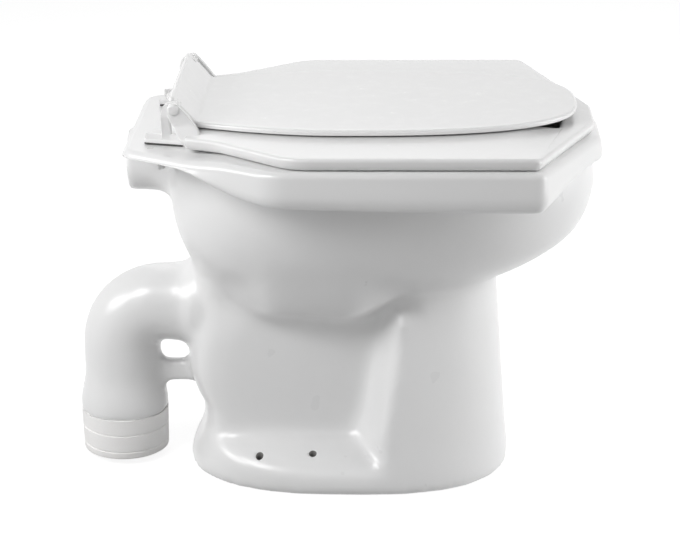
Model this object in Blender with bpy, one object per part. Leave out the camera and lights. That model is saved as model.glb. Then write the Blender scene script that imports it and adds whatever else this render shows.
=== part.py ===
"""Pedestal closet with an S trap, its hinged seat ring and its lid.

Metres, +Z up. The nose of the rim points to -Y, and the origin lies on the floor under the
middle of the closet's length. Distances called "ahead" run from the origin towards the nose.
"""
import math

import bpy
import bmesh
from mathutils import Vector

# Overall size of the ceramic closet
CLOSET_LENGTH = 0.574
RIM_WIDTH = 0.414
RIM_HEIGHT = 0.390
RUNNING_GAP = 0.0003
CUT_OVERRUN = 0.010
CERAMIC_WALL = 0.011
NOSE_REACH = CLOSET_LENGTH / 2
SIDES = ((-1, "left"), (1, "right"))

# Rim seen from above: a long octagon with rounded corners
NOSE_WIDTH = 0.072
FRONT_CHAMFER_RUN = 0.070
REAR_SHOULDER_BEHIND = 0.056
DECK_WIDTH = 0.220
DECK_BEHIND = 0.216
NOSE_CORNER_RADIUS = 0.030
FRONT_CORNER_RADIUS = 0.007
SHOULDER_RADIUS = 0.045
DECK_CORNER_RADIUS = 0.022
CORNER_STEPS = 4

# Rim seen from the side: the apron hangs deepest at the nose and thins out to the rear deck
NOSE_STEP = 0.010
DECK_STEP = 0.004
DECK_THICKNESS = 0.008
SIDE_APRON_FRONT = 0.040
SIDE_APRON_REAR = 0.036
NOSE_APRON = 0.044
DECK_FLAT_BEHIND = 0.165
DECK_RAMP_BEHIND = 0.143
RIM_FLAT_BEHIND = 0.128
APRON_THIN_DEPTH = 0.020
APRON_DEEP_BEHIND = 0.085
APRON_DEEP_DEPTH = 0.033
RIM_ROUND = 0.006
RIM_PROFILE_SHARES = ((0.0, 1.5), (0.08, 0.75), (0.40, 0.0), (0.80, 0.15), (0.93, 0.45), (1.0, 1.3))

# Bowl and pedestal, outer surface
BODY_MIDDLE = 0.020
BODY_SIDES = 56
BODY_SQUARENESS = 2.5
BOWL_SQUARENESS = 2.15
FOOT_WIDTH = 0.250
FOOT_FRONT = 0.193
FOOT_BEHIND = 0.163
ANKLE_BEHIND = 0.146
WAIST_HEIGHT = 0.224
WAIST_WIDTH = 0.204
WAIST_FRONT = 0.177
WAIST_BEHIND = 0.152
BOWL_WIDTH = 0.330
BOWL_BEHIND = 0.178
BOWL_SETBACK = 0.008
BOWL_BITE = 0.002
FOOT_ROUND = 0.004
HEEL_SHARES = ((0.0, 1.0), (0.05, 1.0), (0.16, 0.45), (0.32, 0.0), (0.38, 0.2), (0.50, 0.75), (0.60, 1.0),
               (0.80, 0.75), (1.0, 0.35))
BOWL_FRONT_SHARES = ((0.0, 0.0), (0.05, 0.14), (0.12, 0.35), (0.20, 0.55), (0.30, 0.74), (0.38, 0.84),
                     (0.53, 0.94), (0.70, 1.0), (0.84, 0.97), (1.0, 0.84))
BOWL_SIDE_SHARES = ((0.0, 0.0), (0.05, 0.17), (0.12, 0.36), (0.20, 0.52), (0.30, 0.67), (0.38, 0.76),
                    (0.53, 0.88), (0.70, 0.96), (0.84, 1.0), (1.0, 0.97))
BOWL_REAR_SHARES = ((0.0, 0.0), (0.05, 0.10), (0.12, 0.25), (0.20, 0.43), (0.30, 0.65), (0.38, 0.78),
                    (0.53, 0.90), (0.70, 0.97), (0.84, 1.0), (1.0, 1.0))
PEDESTAL_LEVEL_SHARES = (0.0, 0.018, 0.05, 0.10, 0.16, 0.24, 0.32, 0.38, 0.44, 0.50, 0.60, 0.70, 0.80, 0.92,
                         1.0)

# Side recess behind the front pillar, with a ledge along the foot
RECESS_WIDTH = 0.136
RECESS_FRONT_LOW = 0.022
RECESS_FRONT_HIGH = 0.044
RIDGE_WIDTH = 0.222
RIDGE_FRONT_LOW = 0.056
RIDGE_FRONT_HIGH = 0.075
LEDGE_INNER_HEIGHT = 0.052
LEDGE_OUTER_HEIGHT = 0.036
RECESS_INNER_TOP = 0.176
RECESS_OUTER_TOP = 0.232
RECESS_CORNER_RADIUS = 0.022
RECESS_CORNER_STEPS = 4
RECESS_FILLET = 0.014
RECESS_FILLET_SHARES = ((0.0, 1.0), (0.08, 0.55), (0.35, 0.2), (1.0, 0.0))

# Inside of the bowl, under the opening's lip
OPENING_WIDTH = 0.182
OPENING_SETBACK = 0.041
OPENING_BEHIND = 0.100
OPENING_SQUARENESS = 3.2
LIP_THICKNESS = 0.016
CHANNEL_REACH = 0.013
CHANNEL_HEIGHT = 0.029
SUMP_HEIGHT = 0.098
SUMP_FRONT = 0.030
SUMP_BEHIND = 0.058
SUMP_WIDTH = 0.078
BOWL_INSIDE_SHARES = ((0.0, 0.0, 0.0, 0.0), (0.15, 0.14, 0.06, 0.20), (0.35, 0.40, 0.25, 0.45),
                      (0.55, 0.68, 0.50, 0.68), (0.75, 0.91, 0.78, 0.87), (0.90, 0.98, 0.94, 0.96),
                      (1.0, 1.0, 1.0, 1.0))
INSIDE_SIDES = 40
HOLLOW_TOP = 0.366
HOLLOW_SIDES = 32
HOLLOW_LEVEL_SHARES = (0.0, 0.16, 0.32, 0.44, 0.60, 0.68, 0.82, 1.0)
TREAD_THICKNESS = 0.014

# Trap: the passage dips under the bowl, rises into the rear pipe and turns down to the floor outlet
PIPE_RADIUS = 0.0425
PIPE_BORE_RADIUS = 0.0335
OUTLET_RADIUS = 0.049
OUTLET_BORE_RADIUS = 0.038
OUTLET_LIFT = 0.008
OUTLET_LENGTH = 0.064
COLLAR_TAPER = 0.014
GROOVE_DEPTH = 0.0012
GROOVE_WIDTH = 0.003
GROOVE_SHARES = (0.16, 0.47)
PIPE_HEIGHT = 0.180
BEND_RADIUS = 0.046
BEND_STEPS = 6
PIPE_SIDES = 24
TRAP_BEHIND = OUTLET_RADIUS - NOSE_REACH
DIP_RADIUS = 0.048
DIP_MIDDLE_HEIGHT = 0.114
RISER_BEHIND = 0.111
THROAT_HEIGHT = 0.136
DIP_STEPS = 9
WEB_LOW = 0.086
WEB_HIGH = 0.112
WEB_THICKNESS = 0.018
WEB_BITE = 0.005

# Flush inlet spigot under the deck
SPIGOT_RADIUS = 0.034
SPIGOT_BORE_RADIUS = 0.023
SPIGOT_HEIGHT = 0.345
SPIGOT_BEHIND = 0.222
SPIGOT_SIDES = 28

# Empty holes: two floor screws a side, and the two seat bolts in the deck
SCREW_HOLE_RADIUS = 0.004
SCREW_HOLE_SPACING = 0.196
SCREW_HOLE_FLOOR = 0.016
SCREW_HOLES_AHEAD = (-0.080, -0.022)
BOLT_HOLE_RADIUS = 0.007
BOLT_SPACING = 0.155
BOLTS_BEHIND = 0.178
HOLE_SIDES = 12

# Seat ring: an inverted channel that follows the rim
SEAT_LIFT = 0.0015
SEAT_THICKNESS = 0.0125
SEAT_INSET = 0.004
SEAT_NOSE_SETBACK = 0.009
SEAT_CHAMFER_RUN = 0.066
SEAT_SHOULDER_BEHIND = 0.042
SEAT_TAIL_BEHIND = 0.140
SEAT_TAIL_WIDTH = 0.262
SEAT_SKIN = 0.0035
SEAT_TAIL_THICKNESS = 0.0056
SEAT_EDGE_ROUND = 0.003
SEAT_HOLE_SETBACK = 0.035
SEAT_HOLE_WIDTH = 0.176
SEAT_HOLE_NOSE_WIDTH = 0.080
SEAT_HOLE_CHAMFER_RUN = 0.017
SEAT_HOLE_TAIL_WIDTH = 0.090
SEAT_HOLE_TAIL_BEHIND = 0.098
SEAT_HOLE_SHOULDER_BEHIND = 0.050
SEAT_HOLE_FRONT_RADIUS = 0.022
SEAT_HOLE_REAR_RADIUS = 0.040

# Lid: a thin shell, narrower than the seat, whose tail turns up to the hinge
LID_GAP = 0.0018
LID_THICKNESS = 0.0057
LID_SKIN = 0.003
LID_WIDTH = 0.254
LID_CREASE_WIDTH = 0.188
LID_REAR_FULLNESS = 2.3
LID_NOSE_SETBACK = 0.027
LID_WIDEST_AHEAD = 0.040
LID_CREASE_BEHIND = 0.137
LID_SQUARENESS = 2.3
LID_FRONT_STEPS = 14
LID_REAR_STEPS = 6
LID_EDGE_ROUND = 0.002

# Hinge: both tails rise at the same angle to one line of pins, held by two leaning bracket legs
TAIL_ANGLE = math.radians(48)
TAIL_LENGTH = 0.038
TAIL_NECK = 0.012
HINGE_ALONG = 0.0284
HINGE_BELOW = 0.0054
SEAT_TAIL_STOP = 0.0135
KNUCKLE_RADIUS = 0.0062
PIN_RADIUS = 0.003
PIN_HEAD_RADIUS = 0.0055
PIN_HEAD_THICKNESS = 0.0025
LID_KNUCKLE_WIDTH = 0.010
SEAT_KNUCKLE_WIDTH = 0.006
SEAT_ARM_ELBOW_ALONG = 0.013
SEAT_ARM_NECK_ALONG = 0.004
SEAT_ARM_NECK_BELOW = 0.0034
SEAT_ARM_HEEL_BEHIND = 0.150
KNUCKLE_GAP = 0.0006
ROUND_SIDES = 20

BRACKET_LENGTH = 0.042
BRACKET_THICKNESS = 0.004
BRACKET_INSIDE_BOLT = 0.0155
BRACKET_REAR_BEHIND = 0.194
TOWER_THICKNESS = 0.005
TOWER_WIDTH = 0.0092
TOWER_LEAN = 0.0106
TOWER_CROWN = 0.0066
TOWER_ELBOW_BELOW = 0.0098
TOWER_ELBOW_BEHIND = 0.0032
TOWER_EYE_STEPS = 8
BRACKET_REAR_TAPER = 0.011
GASKET_THICKNESS = 0.0015

BOLT_RADIUS = 0.004
BOLT_HEAD_RADIUS = 0.0075
BOLT_HEAD_THICKNESS = 0.004
BOLT_TAIL = 0.009
CAP_RADIUS = 0.0105
CAP_WALL = 0.0016
CAP_CLEARANCE = 0.009
CAP_SHOULDER_SHARE = 2 / 3
WASHER_RADIUS = 0.011
WASHER_THICKNESS = 0.003
NUT_RADIUS = 0.0075
NUT_THICKNESS = 0.008
WING_REACH = 0.017
WING_THICKNESS = 0.003
WING_RISE = 0.006

SEAT_BUFFER_RADIUS = 0.010
SEAT_BUFFER_INSET = 0.059
SEAT_BUFFERS_AHEAD = (0.160, -0.045)
LID_BUFFER_RADIUS = 0.006
LID_BUFFER_INSET = 0.023
LID_BUFFERS_AHEAD = (0.120, -0.070)

HINGE_AHEAD = (-LID_CREASE_BEHIND - HINGE_ALONG * math.cos(TAIL_ANGLE)
               - HINGE_BELOW * math.sin(TAIL_ANGLE))
SEAT_TOP = RIM_HEIGHT + SEAT_LIFT + SEAT_THICKNESS
LID_BASE = SEAT_TOP + LID_GAP
LID_TOP = LID_BASE + LID_THICKNESS
HINGE_HEIGHT = (LID_TOP + HINGE_ALONG * math.sin(TAIL_ANGLE)
                - HINGE_BELOW * math.cos(TAIL_ANGLE))
DECK_TOP = RIM_HEIGHT - DECK_STEP
DECK_UNDERSIDE = DECK_TOP - DECK_THICKNESS
PLATE_BASE = DECK_TOP + GASKET_THICKNESS + 2 * RUNNING_GAP
PLATE_TOP = PLATE_BASE + BRACKET_THICKNESS
BRACKET_INNER_X = BOLT_SPACING / 2 - BRACKET_INSIDE_BOLT
TAIL_TOP_WIDTH = BOLT_SPACING + 2 * (CAP_RADIUS + CAP_CLEARANCE)
LID_KNUCKLE_OUTER = TAIL_TOP_WIDTH / 2
TOWER_INNER = LID_KNUCKLE_OUTER + KNUCKLE_GAP
TOWER_OUTER = TOWER_INNER + TOWER_THICKNESS
SEAT_KNUCKLE_INNER = TOWER_OUTER + KNUCKLE_GAP
SEAT_KNUCKLE_OUTER = SEAT_KNUCKLE_INNER + SEAT_KNUCKLE_WIDTH


def place(x, ahead, up):
    """A point given by its distance to the side, ahead of the origin and above the floor."""
    return Vector((x, -ahead, up))


def clear_scene():
    """Starts from an empty scene."""
    for item in list(bpy.data.objects):
        bpy.data.objects.remove(item, do_unlink=True)


def make_material(name, colour, roughness, metallic=0.0):
    """A plain surface with the colour and gloss of the real piece."""
    material = bpy.data.materials.new(name)
    material.use_nodes = True
    shader = material.node_tree.nodes["Principled BSDF"]
    shader.inputs["Base Color"].default_value = (*colour, 1.0)
    shader.inputs["Roughness"].default_value = roughness
    shader.inputs["Metallic"].default_value = metallic
    return material


def add_object(name, mesh_builder, material=None, sharp_degrees=35):
    """Turns a bmesh into a named object with outward faces and smooth round sides."""
    bmesh.ops.recalc_face_normals(mesh_builder, faces=mesh_builder.faces)
    mesh = bpy.data.meshes.new(name)
    mesh_builder.to_mesh(mesh)
    mesh_builder.free()
    mesh.shade_smooth()
    mesh.set_sharp_from_angle(angle=math.radians(sharp_degrees))
    item = bpy.data.objects.new(name, mesh)
    bpy.context.collection.objects.link(item)
    if material:
        mesh.materials.append(material)
    else:
        item.hide_render = True
        item.display_type = "WIRE"
    return item


def combine(target, tool, operation):
    """Adds one solid to another, or takes it away, by a live Boolean."""
    modifier = target.modifiers.new(f"{operation.lower()}_{tool.name}", "BOOLEAN")
    modifier.operation = operation
    modifier.solver = "EXACT"
    modifier.object = tool


def share_curve(shares, position):
    """Reads a table of (position, value) shares, straight between its rows."""
    for (low, low_value), (high, high_value) in zip(shares, shares[1:]):
        if position <= high:
            return low_value + (high_value - low_value) * (position - low) / (high - low)
    return shares[-1][1]


def smooth_step(position):
    """0 below 0, 1 above 1, and an S-shaped rise between."""
    held = min(max(position, 0.0), 1.0)
    return held * held * (3 - 2 * held)


def loft(rings, closed=False):
    """Joins rings of equally many points by quads, with flat end caps or end to end."""
    shape = bmesh.new()
    loops = [[shape.verts.new(point) for point in ring] for ring in rings]
    count = len(loops[0])
    pairs = list(zip(loops, loops[1:]))
    if closed:
        pairs.append((loops[-1], loops[0]))
    for lower, upper in pairs:
        for k in range(count):
            n = (k + 1) % count
            shape.faces.new((lower[k], lower[n], upper[n], upper[k]))
    if not closed:
        shape.faces.new(list(reversed(loops[0])))
        shape.faces.new(loops[-1])
    return shape


def cylinder(start, end, radius, sides=ROUND_SIDES):
    """A straight round bar between two points."""
    return turned_bar(start, end, ((0.0, radius), ((end - start).length, radius)), sides)


def turned_bar(start, end, profile, sides=ROUND_SIDES):
    """A bar turned about the line from start to end; its profile is (distance, radius) pairs."""
    axis = (end - start).normalized()
    across = axis.orthogonal().normalized()
    third = axis.cross(across)
    rings = []
    for distance, radius in profile:
        turns = [2 * math.pi * k / sides for k in range(sides)]
        rings.append([start + axis * distance + (across * math.cos(t) + third * math.sin(t)) * radius
                      for t in turns])
    return loft(rings)


def prism_across(outline, inner_x, outer_x):
    """An outline of (ahead, up) points in a side view, pulled across from one x to another."""
    return loft([[place(x, ahead, up) for ahead, up in outline] for x in (inner_x, outer_x)])


def box(x_range, ahead_range, up_range):
    """A plain block between two values on each axis."""
    corners = [(ahead_range[0], up_range[0]), (ahead_range[1], up_range[0]),
               (ahead_range[1], up_range[1]), (ahead_range[0], up_range[1])]
    return prism_across(corners, x_range[0], x_range[1])


def offset_corners(corners, inset):
    """Moves every side of a convex outline inwards by the same distance."""
    moved = []
    count = len(corners)
    for k in range(count):
        before, here, after = corners[k - 1], corners[k], corners[(k + 1) % count]
        first = (here - before).normalized()
        second = (after - here).normalized()
        normal = Vector((first.y, -first.x)) + Vector((second.y, -second.x))
        stretch = inset / (1 + first.dot(second))
        moved.append(here - normal * stretch)
    return moved


def rounded_outline(half_corners, radii, inset=0.0, stations=()):
    """A mirrored outline with arcs at its corners, as (x, ahead) points from nose to tail and back.

    Points are added where the sides cross the stations, which are distances ahead.
    """
    right = [Vector(corner) for corner in half_corners]
    left = [Vector((-corner.x, corner.y)) for corner in reversed(right)]
    corners = offset_corners(right + left, -inset)
    count = len(right)
    half = []
    for k in range(count):
        before = corners[k - 1]
        here = corners[k]
        after = corners[(k + 1) % len(corners)]
        back = (before - here).normalized()
        onward = (after - here).normalized()
        radius = max(radii[k] - inset, RUNNING_GAP)
        half_angle = back.angle(onward) / 2
        reach = radius / math.tan(half_angle)
        start, end = here + back * reach, here + onward * reach
        centre = here + (back + onward).normalized() * radius / math.sin(half_angle)
        turn = (start - centre).angle_signed(end - centre)
        for step in range(CORNER_STEPS + 1):
            angle = turn * step / CORNER_STEPS
            arm = start - centre
            half.append(centre + Vector((arm.x * math.cos(angle) + arm.y * math.sin(angle),
                                         arm.y * math.cos(angle) - arm.x * math.sin(angle))))
    for station in stations:
        half = split_at(half, station)
    return half + [Vector((-point.x, point.y)) for point in reversed(half)]


def split_at(half, station):
    """Adds the point where one side of an outline crosses a distance ahead."""
    result = [half[0]]
    for first, second in zip(half, half[1:]):
        if first.y > station > second.y:
            share = (first.y - station) / (first.y - second.y)
            result.append(first.lerp(second, share))
        result.append(second)
    return result


def outline_slab(rings):
    """A slab from stacked mirrored outlines, closed at both ends by strips from side to side."""
    shape = bmesh.new()
    loops = [[shape.verts.new(point) for point in ring] for ring in rings]
    count = len(loops[0])
    for lower, upper in zip(loops, loops[1:]):
        for k in range(count):
            n = (k + 1) % count
            shape.faces.new((lower[k], lower[n], upper[n], upper[k]))
    for loop in (loops[0], loops[-1]):
        for k in range(count // 2 - 1):
            shape.faces.new((loop[k], loop[k + 1], loop[count - 2 - k], loop[count - 1 - k]))
    return shape


def rim_corners():
    """Right-hand corners of the rim, from the nose to the deck."""
    return ((NOSE_WIDTH / 2, NOSE_REACH), (RIM_WIDTH / 2, NOSE_REACH - FRONT_CHAMFER_RUN),
            (RIM_WIDTH / 2, -REAR_SHOULDER_BEHIND), (DECK_WIDTH / 2, -DECK_BEHIND))


def read_stations(stations, ahead):
    """Reads a table of (distance ahead, value) rows that runs from the tail to the nose."""
    if ahead <= stations[0][0]:
        return stations[0][1]
    return share_curve(stations, ahead)


def rim_top(ahead):
    """Height of the rim's upper face: level along the sides, lower at the nose and the deck."""
    return read_stations(((-DECK_RAMP_BEHIND, DECK_TOP), (-RIM_FLAT_BEHIND, RIM_HEIGHT),
                          (NOSE_REACH - FRONT_CHAMFER_RUN, RIM_HEIGHT),
                          (NOSE_REACH, RIM_HEIGHT - NOSE_STEP)), ahead)


def rim_underside(ahead):
    """Height of the apron's lower edge."""
    return read_stations(((-DECK_FLAT_BEHIND, DECK_UNDERSIDE),
                          (-RIM_FLAT_BEHIND, RIM_HEIGHT - APRON_THIN_DEPTH),
                          (-APRON_DEEP_BEHIND, RIM_HEIGHT - APRON_DEEP_DEPTH),
                          (-REAR_SHOULDER_BEHIND, RIM_HEIGHT - SIDE_APRON_REAR),
                          (NOSE_REACH - FRONT_CHAMFER_RUN, RIM_HEIGHT - SIDE_APRON_FRONT),
                          (NOSE_REACH, RIM_HEIGHT - NOSE_STEP - NOSE_APRON)), ahead)


def build_rim():
    """The octagonal rim with its apron, as one solid slab before the bowl is opened."""
    stations = (-APRON_DEEP_BEHIND, -RIM_FLAT_BEHIND, -DECK_RAMP_BEHIND, -DECK_FLAT_BEHIND)
    radii = (NOSE_CORNER_RADIUS, FRONT_CORNER_RADIUS, SHOULDER_RADIUS, DECK_CORNER_RADIUS)
    rings = []
    for height_share, inset_share in RIM_PROFILE_SHARES:
        outline = rounded_outline(rim_corners(), radii, RIM_ROUND * inset_share, stations)
        ring = []
        for point in outline:
            low, high = rim_underside(point.y), rim_top(point.y)
            ring.append(place(point.x, point.y, low + (high - low) * height_share))
        rings.append(ring)
    return outline_slab(rings)


def body_sizes(up):
    """Front reach, rear reach, half width and squareness of the body at one height."""
    if up <= WAIST_HEIGHT:
        share = up / WAIST_HEIGHT
        front = FOOT_FRONT + (WAIST_FRONT - FOOT_FRONT) * share
        behind = ANKLE_BEHIND + (FOOT_BEHIND - ANKLE_BEHIND) * share_curve(HEEL_SHARES, share)
        half = (FOOT_WIDTH + (WAIST_WIDTH - FOOT_WIDTH) * share) / 2
        return front, behind, half, BODY_SQUARENESS
    bowl_top = DECK_UNDERSIDE + BOWL_BITE
    share = (up - WAIST_HEIGHT) / (bowl_top - WAIST_HEIGHT)
    front = WAIST_FRONT + (NOSE_REACH - BOWL_SETBACK - WAIST_FRONT) * share_curve(BOWL_FRONT_SHARES, share)
    behind = WAIST_BEHIND + (BOWL_BEHIND - WAIST_BEHIND) * share_curve(BOWL_REAR_SHARES, share)
    half = (WAIST_WIDTH + (BOWL_WIDTH - WAIST_WIDTH) * share_curve(BOWL_SIDE_SHARES, share)) / 2
    squareness = BODY_SQUARENESS + (BOWL_SQUARENESS - BODY_SQUARENESS) * smooth_step(share)
    return front, behind, half, squareness


def body_ring(up, wall=0.0, sole=0.0, sides=BODY_SIDES):
    """One level of the bowl and pedestal: an egg with a fuller outline than an oval."""
    front, behind, half, squareness = body_sizes(up)
    inset = wall + sole
    ring = []
    for k in range(sides):
        turn = 2 * math.pi * k / sides
        along = math.cos(turn)
        reach = front - BODY_MIDDLE - inset if along > 0 else behind + BODY_MIDDLE - inset
        fullness = max(1 - abs(along) ** squareness, 0.0) ** (1 / squareness)
        side = math.copysign((half - inset) * fullness, math.sin(turn))
        ring.append(place(side, BODY_MIDDLE + reach * along, up))
    return ring


def body_levels():
    """Heights of the body's levels, from the floor to just inside the rim."""
    bowl_top = DECK_UNDERSIDE + BOWL_BITE
    levels = [WAIST_HEIGHT * share for share in PEDESTAL_LEVEL_SHARES]
    levels += [WAIST_HEIGHT + (bowl_top - WAIST_HEIGHT) * share for share, _ in BOWL_FRONT_SHARES[1:]]
    return levels


def body_solid(wall=0.0):
    """The bowl and pedestal as one solid, rounded at the sole, or its inside below a wall."""
    levels = body_levels()
    return loft([body_ring(levels[0], wall, FOOT_ROUND)] + [body_ring(up, wall) for up in levels[1:]])


def recess_outline(ridge_share, inset):
    """The side recess in the side view, part of the way from its inner wall out to the ridge."""
    def between(inner, outer):
        return inner + (outer - inner) * ridge_share

    floor = between(LEDGE_INNER_HEIGHT, LEDGE_OUTER_HEIGHT) + inset
    roof = between(RECESS_INNER_TOP, RECESS_OUTER_TOP) - inset
    front_low = between(RECESS_FRONT_LOW, RIDGE_FRONT_LOW) - inset
    front_high = between(RECESS_FRONT_HIGH, RIDGE_FRONT_HIGH) - inset
    rear = -BOWL_BEHIND - CUT_OVERRUN
    radius = RECESS_CORNER_RADIUS
    low = arc((front_low - radius, floor + radius), radius, -90, 0, RECESS_CORNER_STEPS)
    high = arc((front_high - radius, roof - radius), radius, 0, 90, RECESS_CORNER_STEPS)
    return [Vector((rear, floor))] + low + high + [Vector((rear, roof))]


def build_recess(side, side_name, wall):
    """The space cut from one side of the pedestal behind its front pillar, grown by a wall."""
    inner = RECESS_WIDTH / 2 - wall
    ridge = RIDGE_WIDTH / 2
    rows = []
    for step_share, inset_share in RECESS_FILLET_SHARES:
        step = RECESS_FILLET * step_share
        rows.append((inner + step, step / (ridge - inner), RECESS_FILLET * inset_share - wall))
    rows += [(ridge, 1.0, -wall), (FOOT_WIDTH / 2 + CUT_OVERRUN, 1.0, -wall)]
    rings = [[place(side * x, point.x, point.y) for point in recess_outline(share, inset)]
             for x, share, inset in rows]
    kind = "shell" if wall else "cut"
    return add_object(f"recess_{kind}_guide_{side_name}", loft(rings))


def bowl_inside_rings(wall=0.0):
    """Levels of the bowl's inside from its sump to above the rim, optionally grown by a wall."""
    opening_front = NOSE_REACH - OPENING_SETBACK
    lip_under = RIM_HEIGHT - LIP_THICKNESS
    channel_under = lip_under - CHANNEL_HEIGHT
    channel_front = opening_front + CHANNEL_REACH
    channel_behind = OPENING_BEHIND + CHANNEL_REACH
    channel_half = OPENING_WIDTH / 2 + CHANNEL_REACH
    rows = []
    for up_share, front_share, rear_share, half_share in BOWL_INSIDE_SHARES:
        rows.append((SUMP_HEIGHT + (channel_under - SUMP_HEIGHT) * up_share - wall,
                     SUMP_FRONT + (channel_front - SUMP_FRONT) * front_share,
                     SUMP_BEHIND + (channel_behind - SUMP_BEHIND) * rear_share,
                     SUMP_WIDTH / 2 + (channel_half - SUMP_WIDTH / 2) * half_share))
    if not wall:
        rows.append((lip_under - CHANNEL_REACH / 2, channel_front, channel_behind, channel_half))
        rows.append((lip_under, opening_front, OPENING_BEHIND, OPENING_WIDTH / 2))
    rows.append((RIM_HEIGHT + CUT_OVERRUN, rows[-1][1], rows[-1][2], rows[-1][3]))
    return [opening_ring(*row, wall) for row in rows]


def opening_ring(up, front, behind, half, wall):
    """One level of the bowl's inside: a long rounded oval."""
    middle = (front - behind) / 2
    reach = (front + behind) / 2 + wall
    ring = []
    for k in range(INSIDE_SIDES):
        turn = 2 * math.pi * k / INSIDE_SIDES
        along = math.cos(turn)
        fullness = max(1 - abs(along) ** OPENING_SQUARENESS, 0.0) ** (1 / OPENING_SQUARENESS)
        side = math.copysign((half + wall) * fullness, math.sin(turn))
        ring.append(place(side, middle + reach * along, up))
    return ring


def arc(centre, radius, start_degrees, end_degrees, steps):
    """Points on an arc in the side view, with angles from straight ahead towards up."""
    points = []
    for step in range(steps + 1):
        turn = math.radians(start_degrees + (end_degrees - start_degrees) * step / steps)
        points.append(Vector((centre[0] + radius * math.cos(turn), centre[1] + radius * math.sin(turn))))
    return points


def passage_path():
    """Centre line of the waterway as (ahead, up) points: down, under the dip, up, back and down."""
    throat = Vector((2 * DIP_RADIUS - RISER_BEHIND, THROAT_HEIGHT))
    bend_low = PIPE_HEIGHT - BEND_RADIUS
    dip = arc((DIP_RADIUS - RISER_BEHIND, DIP_MIDDLE_HEIGHT), DIP_RADIUS, 0, -180, DIP_STEPS)
    rise = arc((-RISER_BEHIND - BEND_RADIUS, bend_low), BEND_RADIUS, 0, 90, BEND_STEPS)
    fall = arc((TRAP_BEHIND + BEND_RADIUS, bend_low), BEND_RADIUS, 90, 180, BEND_STEPS)
    return [throat] + dip + rise + fall


def sweep(points, radii, sides=PIPE_SIDES):
    """A round bar carried along (ahead, up) points, with its own radius at each."""
    rings = []
    for k, point in enumerate(points):
        before = points[max(k - 1, 0)]
        after = points[min(k + 1, len(points) - 1)]
        along = (after - before).normalized()
        lift = Vector((-along.y, along.x))
        ring = []
        for j in range(sides):
            turn = 2 * math.pi * j / sides
            spot = point + lift * radii[k] * math.sin(turn)
            ring.append(place(radii[k] * math.cos(turn), spot.x, spot.y))
        rings.append(ring)
    return loft(rings)


def build_trap_pipe():
    """The visible rear pipe: out of the pedestal, over the bend and down into the grooved outlet."""
    path = [Vector((-RISER_BEHIND, PIPE_HEIGHT))]
    path += passage_path()[-BEND_STEPS - 1:]
    radii = [PIPE_RADIUS] * len(path)
    outlet_top = OUTLET_LIFT + OUTLET_LENGTH
    rows = [(outlet_top + COLLAR_TAPER, PIPE_RADIUS), (outlet_top, OUTLET_RADIUS)]
    for share in reversed(GROOVE_SHARES):
        middle = OUTLET_LIFT + OUTLET_LENGTH * share
        for offset, radius in ((1, OUTLET_RADIUS), (0, OUTLET_RADIUS - GROOVE_DEPTH), (-1, OUTLET_RADIUS)):
            rows.append((middle + offset * GROOVE_WIDTH / 2, radius))
    rows.append((OUTLET_LIFT, OUTLET_RADIUS))
    for up, radius in rows:
        path.append(Vector((TRAP_BEHIND, up)))
        radii.append(radius)
    return add_object("pipe_guide", sweep(path, radii))


def build_waterway():
    """The bore of the trap, which widens inside the outlet."""
    path = passage_path()
    radii = [PIPE_BORE_RADIUS] * len(path)
    outlet_top = OUTLET_LIFT + OUTLET_LENGTH
    rows = ((outlet_top, PIPE_BORE_RADIUS), (outlet_top - COLLAR_TAPER, OUTLET_BORE_RADIUS),
            (OUTLET_LIFT - CUT_OVERRUN, OUTLET_BORE_RADIUS))
    for up, radius in rows:
        path.append(Vector((TRAP_BEHIND, up)))
        radii.append(radius)
    return add_object("waterway_guide", sweep(path, radii))


def build_hollow():
    """The space between the outer shell and the walls of the bowl and trap, open at the floor."""
    lift = CERAMIC_WALL / 2
    rings = [body_ring(0.0, CERAMIC_WALL, sides=HOLLOW_SIDES)]
    for corner in rings[0]:
        corner.z -= CUT_OVERRUN
    for share in HOLLOW_LEVEL_SHARES:
        ring = body_ring(HOLLOW_TOP * share, CERAMIC_WALL, sides=HOLLOW_SIDES)
        for corner in ring:
            corner.z += lift
        rings.append(ring)
    hollow = add_object("hollow_guide", loft(rings))
    for side, side_name in SIDES:
        combine(hollow, build_recess(side, side_name, CERAMIC_WALL), "DIFFERENCE")
    combine(hollow, add_object("bowl_shell_guide", loft(bowl_inside_rings(CERAMIC_WALL))), "DIFFERENCE")
    path = passage_path()[:-BEND_STEPS]
    trap_shell = add_object("trap_shell_guide", sweep(path, [PIPE_BORE_RADIUS + CERAMIC_WALL] * len(path)))
    combine(hollow, trap_shell, "DIFFERENCE")
    inlet_shell = cylinder(place(0, -OPENING_BEHIND, SPIGOT_HEIGHT), place(0, -SPIGOT_BEHIND, SPIGOT_HEIGHT),
                           SPIGOT_RADIUS, SPIGOT_SIDES)
    combine(hollow, add_object("inlet_shell_guide", inlet_shell), "DIFFERENCE")
    return hollow


def build_tread_pocket():
    """The space behind the apron, under the treads at the sides, outside the bowl."""
    radii = (NOSE_CORNER_RADIUS, FRONT_CORNER_RADIUS, SHOULDER_RADIUS, DECK_CORNER_RADIUS)
    outline = rounded_outline(rim_corners(), radii, CERAMIC_WALL)
    low = RIM_HEIGHT - NOSE_STEP - NOSE_APRON - CUT_OVERRUN
    rings = [[place(point.x, point.y, up) for point in outline] for up in (low, RIM_HEIGHT - TREAD_THICKNESS)]
    pocket = add_object("tread_pocket_guide", outline_slab(rings))
    combine(pocket, add_object("pocket_core_guide", body_solid(CERAMIC_WALL / 2)), "DIFFERENCE")
    return pocket


def bar_along(start_behind, end_behind, radius):
    """A bar on the spigot's line, between two distances behind the origin."""
    return cylinder(place(0, -start_behind, SPIGOT_HEIGHT), place(0, -end_behind, SPIGOT_HEIGHT),
                    radius, SPIGOT_SIDES)


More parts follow.
